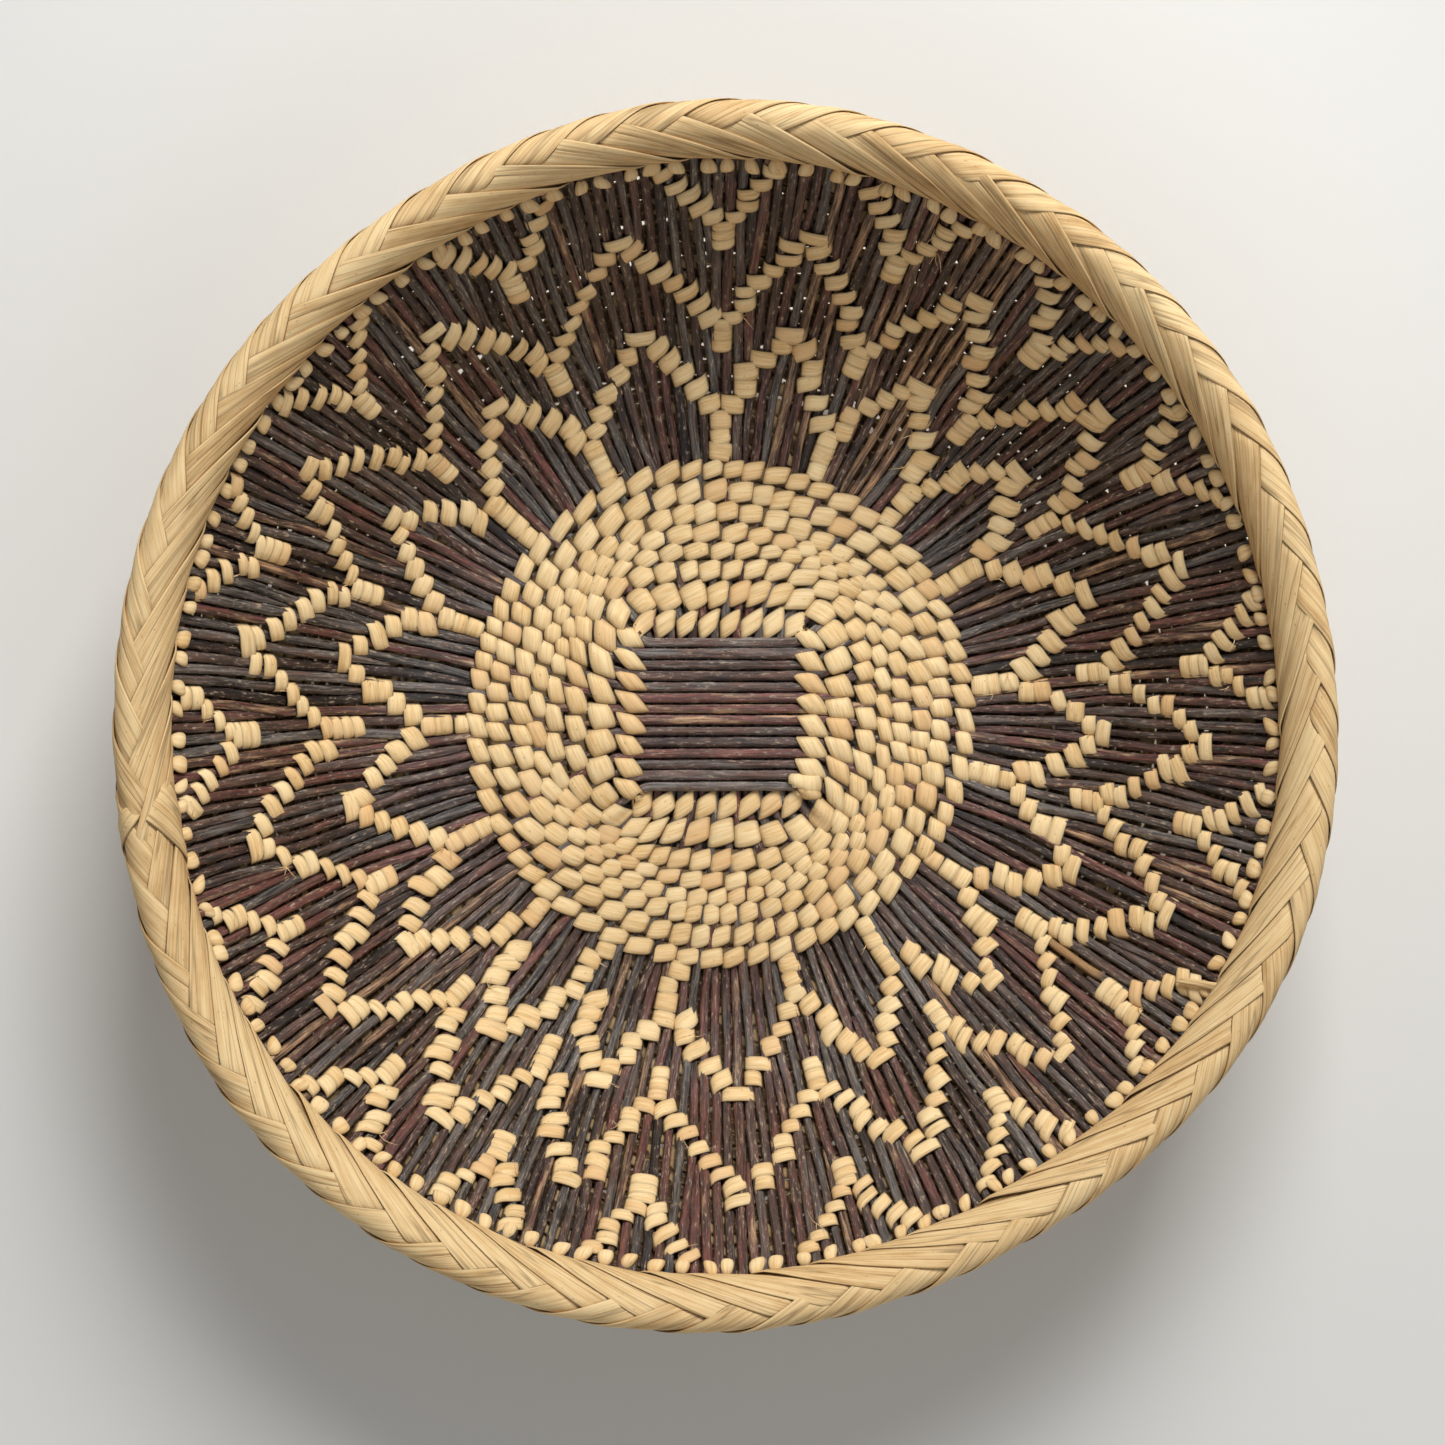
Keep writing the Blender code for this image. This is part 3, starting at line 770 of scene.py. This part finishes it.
class BASKET_OT_floor_weft(bpy.types.Operator):
    """Pale disc round the crossing: rows of slanting palm stitches on both faces of the floor"""

    bl_idname = "basket.floor_weft"
    bl_label = "Floor weft"

    def execute(self, context):
        weft = basket_material("weft")
        stick = context.scene.basket_sizes.stick_diameter / 2
        places = None
        for row in weft_rows()[:len(DISC_ROWS_MM)]:
            rng = np.random.default_rng(SEED + 200 + row.number)
            strands = Strands()
            first = row.number == 1
            places = self.next_places(rng, places, FIRST_ROW_STITCHES if first else round(row.total / STITCH_SPACE))
            gaps = following(places) - places
            if row.number > 2:
                self.shaded_seam_strands(strands, rng, row, stick)
            for i, place in enumerate(places):
                run = place * row.total
                space = (gaps[i] + gaps[i - 1]) / 2 * row.total
                reach = space * rng.uniform(0.52, 0.59)
                width = rng.uniform(7.4, 8.4) * MM if first else row.pitch * rng.uniform(0.94, 1.12)
                slant = DISC_SLANTS[row.number - 1] + rng.uniform(-0.08, 0.08)
                # The disc's stitches take painted shade towards their ends from brown=0.76 on.
                add_stitch(strands, rng, row, run, reach, width, slant=slant, shear=rng.uniform(-0.08, 0.10),
                           rise=stick + 0.3 * MM, crown=0.9 * MM, pinch=rng.uniform(0.10, 0.24), brown=0.76)
                add_stitch(strands, rng, row, run + space / 2, space * 0.48, row.pitch * 0.95, slant=0.2,
                           rise=stick + 0.9 * MM, crown=1.0 * MM, face=-1)
            if first:
                add_stitch(strands, rng, row, row.run_at(math.radians(KNOT_BEARING)), 3.9 * MM, 11.5 * MM,
                           shift=-1.6 * MM, slant=-0.08, rise=stick + 0.8 * MM, crown=0.8 * MM, pinch=0.22)
            strands.piece(f"palm_floor_weft_{row.number:02d}", weft, "palm_weft",
                          f"floor_weft_row_{row.number:02d}")
        return {"FINISHED"}

    def shaded_seam_strands(self, strands, rng, row, stick):
        """The row's strands where they cross between the sticks, darkened almost to the cut-edge brown
        as painted shade in the seams of its stitches.
        """
        bowl = basket_plan()[0]
        run, bearing, arc, angle = row_ring(row, 180)
        inward, outward = 0.55, 0.5 if row.number < len(DISC_ROWS_MM) else 0.3
        arc = arc + np.cos(angle) * np.where(np.cos(angle) < 0, inward, outward) * row.pitch
        height = stick - 0.45 * MM + 0.3 * MM * np.sin(angle)[None]
        grid = bowl.point(arc, bearing, height + bowl.lift(bearing, bowl.profile(arc)[0]))
        across = np.linspace(0, 2 * row.pitch, len(angle) + 1) + rng.uniform(0, 1)
        # edge=0.88 is painted shade: the palm between the stitches lies deep in their seams.
        strands.add(grid, across, np.append(run, row.total), tone=0.3, edge=0.88, ring=True)

    def next_places(self, rng, places, count):
        """Shares of the row's length where its stitches lie: over the joints of the row before, with a few
        more let in where the row has grown longer."""
        if places is None:
            return (np.arange(count) + 0.5) / count
        places = (places + following(places)) / 2
        more = count - len(places)
        if more > 0:
            at = ((np.arange(more) + rng.uniform(0, 1, more)) * len(places) / more).astype(int)
            places = np.sort(np.append(places, (places[at] + following(places)[at]) / 2))
        for _ in range(8):
            before = np.insert(places[:-1], 0, places[-1] - 1)
            places = places + 0.25 * ((before + following(places)) / 2 - places)
        return places + rng.normal(0, 0.03 / count, len(places))


def zigzag_stitches():
    """The traditional star of three zigzags, as (row number, bearing, sticks covered, wraps, way) in degrees.
    The way is 1 on an arm that goes round with the bearing, -1 on one that goes back, and 0 elsewhere."""
    marks = []
    for spoke, after in zip(SPOKES, SPOKES[1:] + (SPOKES[0] + 360,)):
        half = (after - spoke) / 2
        marks += [(number, spoke, 2, 1, 0) for number in SPOKE_ROWS]
        marks += [(number, spoke, 2, 3, 0) for number in POINT_ROWS]
        for first, shown, whole in ZIGZAGS:
            for k in range(shown):
                step = half * (k + 1) / whole
                if k + 1 == whole:
                    marks.append((first + k, spoke + half, 3, 1, 0))
                else:
                    marks.append((first + k, spoke + step, 2, 1, 1))
                    marks.append((first + k, after - step, 2, 1, -1))
    return marks


class BASKET_OT_wall_weft(bpy.types.Operator):
    """Rows of twined palm on the wall, whose stitches come to the front to draw the zigzags"""

    bl_idname = "basket.wall_weft"
    bl_label = "Wall weft"

    def execute(self, context):
        bowl, plan = basket_plan()
        stick = context.scene.basket_sizes.stick_diameter / 2
        weft = basket_material("weft")
        wall = weft_rows()[len(DISC_ROWS_MM):]
        stands_for = self.nearest_nodes(bowl, wall)
        pattern = zigzag_stitches()
        for row in wall:
            rng = np.random.default_rng(SEED + 300 + row.number)
            strands = Strands()
            stakes = plan.standing(row.radius)
            used = set()
            for number, degrees, covered, wraps, way in pattern:
                # A place between two rows goes with the lower one.
                if round(number - 0.01) != row.number:
                    continue
                middle, span = self.take_stakes(stakes, used, math.radians(degrees) % TURN, covered)
                reach = span / 2 * row.radius + stick + rng.uniform(0.1, 0.6) * MM
                slant = ARM_SLANTS[way] + rng.normal(0, 0.10)
                for wrap in range(wraps):
                    tall = row.pitch * (2.1 if wraps > 1 else rng.triangular(0.86, 1.10, 1.32)) / wraps
                    tall *= 1.1 if row.number < ZIGZAGS[1][0] else 1.0
                    shift = (number - row.number) * row.pitch + (wrap - (wraps - 1) / 2) * tall
                    width = tall * (1.2 if wraps > 1 else 1.0)
                    add_stitch(strands, rng, row, row.run_at(middle), reach, width, shift=shift, slant=slant,
                               shear=0.5 * slant, rise=stick + 0.35 * MM, crown=0.5 * MM,
                               pinch=rng.uniform(0.04, 0.12), hook=0.8)
                if rng.uniform() < 0.10:
                    self.fray(strands, rng, bowl, row, middle)
            self.back_strands(strands, rng, row, len(stakes), stick)
            strands.piece(f"palm_wall_weft_{row.number:02d}", weft, "palm_weft", *stands_for[row.number])
        return {"FINISHED"}

    def nearest_nodes(self, bowl, wall):
        """The CAD rows that each row stands for: those nearest to it in height."""
        heights = {row.number: float(bowl.profile(row.at(0)[1])[1]) for row in wall}
        stands_for = {row.number: [] for row in wall}
        for node in sorted(n for n in NODES if n.startswith("wall_weft_row")):
            height = (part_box(node)[0].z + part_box(node)[1].z) / 2
            stands_for[min(heights, key=lambda number: abs(heights[number] - height))].append(node)
        return stands_for

    def take_stakes(self, stakes, used, target, covered):
        """Finds the free stakes side by side whose middle is nearest to a bearing. Gives that middle and the angle
        from the first to the last of them."""
        best = None
        for k in range(len(stakes)):
            group = [(k + j) % len(stakes) for j in range(covered)]
            if used & set(group):
                continue
            span = (stakes[group[-1]] - stakes[group[0]]) % TURN
            middle = stakes[group[0]] + span / 2
            off = abs((middle - target + math.pi) % TURN - math.pi)
            if best is None or off < best[0]:
                best = (off, middle, span, group)
        used |= set(best[3])
        return best[1:3]

    def fray(self, strands, rng, bowl, row, bearing):
        """A few fibres that have worked loose at the end of a stitch."""
        arc = float(row.at(row.run_at(bearing))[1])
        at = bearing + rng.choice((-1, 1)) * 3.2 * MM / row.radius
        start = bowl.point(arc, at, 1.2 * MM)
        for _ in range(rng.integers(1, 4)):
            there = bowl.point(arc + rng.normal(0, 1), at + rng.normal(0, 1) / row.radius, rng.uniform(0.1, 0.5))
            way = (there - start) / np.linalg.norm(there - start)
            add_hair(strands, rng, start, way, rng.uniform(2.5, 6) * MM)

    def back_strands(self, strands, rng, row, stakes, stick):
        """Two palm strands twisted round each other behind the sticks, a quarter turn from stick to stick."""
        bowl = basket_plan()[0]
        count = stakes * 3
        run, bearing, arc, angle = row_ring(row, count)
        twist = np.arange(count) * TURN * (round(stakes / 4) / count)
        for strand in range(2):
            phase = twist + strand * math.pi
            half_turn = (phase // math.pi).astype(int)
            up = np.cos(phase)[:, None] * 0.95 * MM
            out = stick + 0.9 * MM + np.sin(phase)[:, None] * 0.7 * MM
            broad = 2.05 * MM + 0.35 * MM * np.convolve(rng.normal(0, 1, count), np.ones(3) / 1.7, "same")
            grid = bowl.point(arc + up + broad[:, None] * np.cos(angle), bearing, -out + 0.65 * MM * np.sin(angle))
            tone = rng.uniform(0, 1, stakes + 2)[half_turn][:, None]
            # Painted shade: the faces that turn inward, seen between the sticks, are darkened fully on about three
            # stretches in four and half on the rest. The upper and lower edges are a little brown.
            shade = rng.choice((0.5, 1.0), stakes + 2, p=(0.25, 0.75))[half_turn][:, None]
            edge = np.maximum(shade * (np.sin(angle) > 0.1), 0.4 * (np.abs(np.cos(angle)) > 0.9))
            across = np.linspace(0, 6 * MM, len(angle) + 1) + rng.uniform(0, 1)
            strands.add(grid, across, np.append(run, row.total), tone, edge=edge, wear=0.45, ring=True)


def rim_point(bearing, turn, lift):
    """A place on the rim roll: bearing round the basket, turn round the roll's oval section and height over it.
    Turn 0 is at the roll's upper end and a quarter turn is on the inside."""
    bowl = basket_plan()[0]
    sizes = bowl.sizes
    half_length = sizes.roll_length / 2 - UNDER_PLAIT
    half_thick = sizes.roll_thickness / 2 - UNDER_PLAIT
    normal_a = half_thick * np.cos(turn)
    normal_b = half_length * np.sin(turn)
    size = np.hypot(normal_a, normal_b)
    a = half_length * np.cos(turn) + lift * normal_a / size
    b = half_thick * np.sin(turn) + lift * normal_b / size
    slope = bowl.slope
    base_radius, base_height, _ = bowl.profile(bowl.roll_arc + 0.6 * MM)
    radius = base_radius + a * math.cos(slope) - b * math.sin(slope)
    height = base_height + a * math.sin(slope) + b * math.cos(slope)
    return bowl.bent(radius, bearing, height)


def roll_turns():
    """Distance round the rim roll's section against turn."""
    sizes = bpy.context.scene.basket_sizes
    turns = np.linspace(-TURN, TURN, 1441)
    steps = np.hypot(sizes.roll_length / 2 * np.sin(turns), sizes.roll_thickness / 2 * np.cos(turns))
    distance = np.cumsum(steps) * (turns[1] - turns[0])
    return turns, distance


class BASKET_OT_rim_hoops(bpy.types.Operator):
    """Two split-wood hoops that clamp the stick ends inside the rim"""

    bl_idname = "basket.rim_hoops"
    bl_label = "Rim hoops"

    def execute(self, context):
        bowl = basket_plan()[0]
        stick = context.scene.basket_sizes.stick_diameter / 2
        wood = basket_material("hoop")
        rng = np.random.default_rng(SEED + 400)
        bearing = np.linspace(0, TURN, 241)[:-1]
        section = np.array(((-1, -0.6), (-0.8, -1), (0.8, -1), (1, -0.6),
                            (1, 0.6), (0.8, 1), (-0.8, 1), (-1, 0.6)))
        for node, face in (("inner_rim_hoop", 1), ("outer_rim_hoop", -1)):
            strands = Strands()
            arc = bowl.roll_arc + section[None, :, 0] * 4 * MM
            depth = face * (stick + 1.3 * MM) + section[None, :, 1] * 1.0 * MM
            grid = bowl.point(arc + 0 * bearing[:, None], bearing[:, None] + 0 * arc, depth)
            across = np.linspace(0, 20 * MM, len(section) + 1)
            along = np.linspace(0, TURN * bowl.roll_radius, len(bearing) + 1)
            strands.add(grid, across, along, tone=rng.uniform(0, 1), ring=True)
            strands.piece("split_wood_" + node, wood, "hoop_wood", node)
        return {"FINISHED"}


# Section of a rim strip, as shares of its half width and its crown, and which of its sides are cut edges.
RIBBON = np.array(((-1, 0), (-0.93, 0.6), (-0.6, 0.92), (0, 1), (0.6, 0.92), (0.93, 0.6), (1, 0),
                   (0.8, -0.5), (0, -0.6), (-0.8, -0.5)))
RIBBON_EDGE = np.abs(RIBBON[None, :, 0]) > 0.95


class BASKET_OT_rim_binding(bpy.types.Operator):
    """Palm strips plaited over the rim in a herringbone, each lapped by the next"""

    bl_idname = "basket.rim_binding"
    bl_label = "Rim binding"

    def execute(self, context):
        bowl = basket_plan()[0]
        binding = basket_material("binding")
        rng = np.random.default_rng(SEED + 500)
        strands = Strands()
        self.roll(strands, bowl)
        strips = context.scene.basket_sizes.rim_strips
        for way in (1, -1):
            for k in range(strips):
                self.strip(strands, rng, bowl, k, strips, way)
        for way in (1, -1):
            self.flap(strands, rng, bowl, way)
        self.loose_end(strands, rng, bowl)
        strands.piece("palm_rim_binding", binding, "palm_binding", "rim_binding")
        return {"FINISHED"}

    def roll(self, strands, bowl):
        """The brown roll under the plait, which shows where strips part."""
        bearing = np.linspace(0, TURN, 289)[:-1]
        turn = np.linspace(0, TURN, 29)[:-1]
        grid = rim_point(bearing[:, None] + 0 * turn, turn[None] + 0 * bearing[:, None], -0.2 * MM)
        around = np.linspace(0, TURN * bowl.roll_radius, len(bearing) + 1)
        strands.add(grid, np.linspace(0, 50 * MM, len(turn) + 1), around, hue=0.5, edge=0.35, ring=True)

    def span(self, end, lean):
        """Length of a strip from the ridge to a turn in degrees, at a lean to the rim."""
        turns, distance = roll_turns()
        last, ridge = (np.interp(math.radians(turn), turns, distance) for turn in (end, RIDGE_TURN))
        return abs(last - ridge) / math.sin(lean)

    def laid(self, bowl, at, lean, crossing, way, run, side, span, lift):
        """Lays a strip on the roll from a place along the ridge. Its end there is cut along the strips that it
        meets, which lean the other way."""
        turns, distance = roll_turns()
        ridge = np.interp(math.radians(RIDGE_TURN), turns, distance)
        step = run - 1 / math.tan(lean + crossing) * (1 - ease(0, span * 0.4, run)) * side
        x = side * math.sin(lean) - step * math.cos(lean)
        y = side * math.cos(lean) + step * math.sin(lean)
        turn = np.interp(ridge + way * y, distance, turns)
        return rim_point((at + x) / bowl.roll_radius, turn, lift)

    def strip(self, strands, rng, bowl, k, strips, way):
        """One strip from the ridge of the plait down one side of the roll. Its leading edge lies over the strip
        before it, and its end at the ridge goes under the next strip from the other side."""
        inner = way > 0
        pitch = TURN * bowl.roll_radius / strips
        at = (k + (0 if inner else 0.5) + rng.uniform(-0.12, 0.12)) * pitch
        lean, crossing = (math.radians(degrees + rng.uniform(-2.2, 2.2)) for degrees in (24, 30)[::way])
        strip_half = pitch * math.sin(lean) * rng.uniform(0.60, 0.66)
        tone = rng.uniform(0, 1)
        plies = ((-0.66, 0.36), (0.30, 0.72)) if rng.uniform() < 0.35 else ((0.0, 1.0),)
        span = self.span(STRIP_ENDS[way], lean)
        run = np.linspace(-5 * MM, span, 24 if inner else 36)[:, None]
        gather = 1 - 0.22 * ease(span * 0.55, span, run) * inner
        dive = -1.5 * MM * (1 - ease(-3 * MM, 2.5 * MM, run)) - 1.0 * MM * ease(span - 4 * MM, span, run)
        for middle, share in plies:
            half = strip_half * share
            side = (middle * strip_half + RIBBON[None, :, 0] * half) * gather
            lap = -0.42 * MM * side / strip_half + (0.12 * MM if middle < 0 else 0)
            lift = 0.55 * MM + lap + dive + RIBBON[None, :, 1] * 0.34 * MM
            grid = self.laid(bowl, at, lean, crossing, way, run, side, span, lift)
            ply_tone = np.clip(tone + rng.uniform(-0.2, 0.2), 0, 1)
            across = closed(RIBBON[:, 0]) * half + rng.uniform(0, 1)
            strands.add(grid, across, run[:, 0] + rng.uniform(0, 1), ply_tone, edge=0.6 * RIBBON_EDGE)

    def flap(self, strands, rng, bowl, way):
        """The last strip on each side, folded back over the plait's beginning where the two meet."""
        lean = math.radians(180 - 46)
        widest = 12 * MM
        span = self.span(FLAP_ENDS[way], lean)
        run = np.linspace(-3 * MM, span, 26)[:, None]
        half = widest * (1 - 0.3 * ease(0.3 * span, span, run))
        side = -half + RIBBON[None, :, 0] * half
        dive = 1.6 * MM * (1 - ease(-3 * MM, 3 * MM, run)) + 1.6 * MM * ease(span - 5 * MM, span, run)
        sink = 1.6 * MM * (1 - ease(-half * 2, -half * 1.2, side))
        lift = 1.35 * MM - dive - sink + RIBBON[None, :, 1] * 0.3 * MM
        at = math.radians(CLOSING_BEARING) * bowl.roll_radius
        grid = self.laid(bowl, at, lean, lean, way, run, side, span, lift)
        across = closed(RIBBON[:, 0]) * widest + rng.uniform(0, 1)
        strands.add(grid, across, run[:, 0] + rng.uniform(0, 1), tone=0.45, edge=0.6 * RIBBON_EDGE)

    def loose_end(self, strands, rng, bowl):
        """The free end of one strip, which sticks out from under the plait over the lashing."""
        reach, half = 15 * MM, 1.6 * MM
        place = np.linspace(0, 1, 10)[:, None]
        side = RIBBON[None, :, 0] * half * (1 - 0.25 * place)
        arc = bowl.roll_arc - 4 * MM - reach * place + 0.45 * side
        bearing = math.radians(LOOSE_END_BEARING) + (side - 5 * MM * place) / bowl.roll_radius
        height = 3.2 * MM + 2.0 * MM * place - 1.5 * MM * place ** 2 + RIBBON[None, :, 1] * 0.3 * MM
        across = closed(RIBBON[:, 0]) * half + rng.uniform(0, 1)
        along = place[:, 0] * reach + rng.uniform(0, 1)
        strands.add(bowl.point(arc, bearing, height), across, along, tone=0.5, edge=0.5 * RIBBON_EDGE)


class BASKET_OT_rim_lashing(bpy.types.Operator):
    """Small palm loops that hold the rim to the sticks just below the plait"""

    bl_idname = "basket.rim_lashing"
    bl_label = "Rim lashing"

    def execute(self, context):
        bowl = basket_plan()[0]
        sizes = context.scene.basket_sizes
        stick = sizes.stick_diameter / 2
        weft = basket_material("weft")
        rng = np.random.default_rng(SEED + 600)
        strands = Strands()
        under = bowl.roll_arc - sizes.roll_length / 2
        place = STATIONS[:, None]
        dome = np.sqrt(np.maximum(1 - np.abs(place) ** 2.4, 0.02))
        # Painted shade: the loops darken at their edges and towards their ends, where they dive under the rim.
        edge = np.maximum(0.6 * LENS_EDGE_AND_SHADE[None, :], 0.7 * ease(0.85, 1, np.abs(place)))
        height = (stick + 0.9 * MM) * dome - 0.5 * MM + LENS[None, :, 1] * 1.0 * MM * dome
        for k in range(LASHING_LOOPS):
            bearing = (k + rng.uniform(-0.22, 0.22)) * TURN / LASHING_LOOPS
            reach = rng.uniform(2.6, 3.4) * MM
            middle = under - rng.uniform(0.6, 2.0) * MM
            side = LENS[None, :, 0] * rng.uniform(2.0, 2.9) * MM * dome
            arc = middle + place * reach + rng.uniform(-0.3, 0.3) * side
            tilt = rng.uniform(-0.3, 0.3) * place * reach
            grid = bowl.point(arc, bearing + (side + tilt) / bowl.profile(arc)[0], height)
            tone = rng.uniform(0, 1)
            across = closed(LENS[:, 0]) * 1.5 * MM + rng.uniform(0, 1)
            strands.add(grid, across, STATIONS * reach + rng.uniform(0, 1), tone, edge=edge)
        strands.piece("palm_rim_lashing", weft, "palm_binding")
        return {"FINISHED"}


class BASKET_OT_stage(bpy.types.Operator):
    """Plain pale floor, soft studio light and the camera above the basket"""

    bl_idname = "basket.stage"
    bl_label = "Stage"

    def execute(self, context):
        scene = context.scene
        self.floor(scene)
        for name, (place, size, power) in LAMPS.items():
            self.light(name, place, size, power)
        world = scene.world or bpy.data.worlds.new("studio_air")
        scene.world = world
        world.use_nodes = True
        world.node_tree.nodes.clear()
        air = add_node(world.node_tree, "Background", {"Color": (1, 1, 1, 1), "Strength": AIR_STRENGTH})
        add_node(world.node_tree, "OutputWorld", {"Surface": air})
        self.camera(scene)
        scene.view_settings.view_transform = "Standard"
        return {"FINISHED"}

    def floor(self, scene):
        """Matt painted board: an even pale surface with a faint roller texture. A real one is about 1 mm wide, too
        fine to show in the render, so it is drawn 6 mm wide."""
        material, add = shader_tree("matt_painted_board")
        place = add("TexCoord").outputs["Object"]
        grain = add("TexNoise", {"Vector": place, "Scale": 1 / (6 * MM), "Detail": 3.0})
        bump = add("Bump", {"Height": grain, "Strength": 0.15, "Distance": 0.4 * MM})
        pale = tuple(scene.basket_colours.floor)
        surface = add("BsdfPrincipled", {"Base Color": pale, "Roughness": 0.85, "Specular IOR Level": 0.1,
                                         "Normal": bump})
        # Away from the basket the board is seen evenly pale, like a paper sweep, also in reflections; the light
        # that it throws back stays that of the lit board.
        seen = add("LightPath").outputs
        mirrored = add("Math", {0: seen["Is Glossy Ray"], 1: seen["Is Transmission Ray"]}, operation="MAXIMUM")
        direct = add("Math", {0: seen["Is Camera Ray"], 1: mirrored}, operation="MAXIMUM")
        distance = add("VectorMath", {0: place}, operation="LENGTH")
        far = add("MapRange", {"Value": distance, "From Min": SWEEP_BEGINS, "From Max": SWEEP_WHOLE,
                               "To Max": direct}, interpolation_type="SMOOTHSTEP")
        sweep = add("Emission", {"Color": pale, "Strength": 0.88})
        mixed = add("MixShader", {0: far, 1: surface, 2: sweep})
        add("OutputMaterial", {"Surface": mixed})
        mesh = bpy.data.meshes.new("studio_floor")
        corners = [(x * FLOOR_HALF, y * FLOOR_HALF) for x, y in ((-1, -1), (1, -1), (1, 1), (-1, 1))]
        points = [(x, y, z) for z in (0, FLOOR_EDGE) for x, y in corners]
        edges = [(i, i + 4, (i + 1) % 4 + 4, (i + 1) % 4) for i in range(4)]
        mesh.from_pydata(points, [], [(0, 1, 2, 3)] + edges)
        mesh.materials.append(material)
        board = bpy.data.objects.new("studio_floor", mesh)
        scene.collection.objects.link(board)

    def light(self, name, place, size, power):
        lamp = bpy.data.lights.new(name, "AREA")
        lamp.shape = "SQUARE"
        lamp.size = size
        lamp.energy = power
        made = bpy.data.objects.new(name, lamp)
        made.location = place
        made.rotation_euler = (Vector(LAMP_AIM) - Vector(place)).to_track_quat("-Z", "Y").to_euler()
        bpy.context.scene.collection.objects.link(made)

    def camera(self, scene):
        """The photograph was taken square on, from about 0.9 m and a little off the axis."""
        place, aim = Vector(CAMERA_PLACE), Vector(CAMERA_AIM)
        back = (place - aim).normalized()
        right = Vector((0, 1, 0)).cross(back).normalized()
        above = back.cross(right)
        lens = bpy.data.cameras.new("basket_camera")
        lens.sensor_width = SENSOR_MM
        lens.lens = SENSOR_MM * (place - aim).length / CAMERA_FIELD
        made = bpy.data.objects.new("basket_camera", lens)
        made.matrix_world = Matrix.Translation(place) @ Matrix((right, above, back)).transposed().to_4x4()
        scene.collection.objects.link(made)
        scene.camera = made


OPERATORS = (BASKET_OT_sticks, BASKET_OT_floor_weft, BASKET_OT_wall_weft, BASKET_OT_rim_hoops,
             BASKET_OT_rim_binding, BASKET_OT_rim_lashing, BASKET_OT_stage)


class BASKET_PT_panel(bpy.types.Panel):
    """Sizes, colours and building steps of the basket"""

    bl_label = "Winnowing Basket"
    bl_idname = "BASKET_PT_panel"
    bl_space_type = "VIEW_3D"
    bl_region_type = "UI"
    bl_category = "Basket"

    def draw(self, context):
        for group in (context.scene.basket_sizes, context.scene.basket_colours):
            for name in group.bl_rna.properties.keys():
                if name not in {"rna_type", "name"}:
                    self.layout.prop(group, name)
        for operator in OPERATORS:
            self.layout.operator(operator.bl_idname)


CLASSES = (BasketSizes, BasketColours) + OPERATORS + (BASKET_PT_panel,)


def register():
    for cls in CLASSES:
        bpy.utils.register_class(cls)
    bpy.types.Scene.basket_sizes = PointerProperty(type=BasketSizes)
    bpy.types.Scene.basket_colours = PointerProperty(type=BasketColours)


def unregister():
    del bpy.types.Scene.basket_colours
    del bpy.types.Scene.basket_sizes
    for cls in reversed(CLASSES):
        bpy.utils.unregister_class(cls)


def main():
    register()
    for operator in OPERATORS:
        group, name = operator.bl_idname.split(".")
        getattr(getattr(bpy.ops, group), name)()
    bpy.context.view_layer.update()


if __name__ == "__main__":
    main()
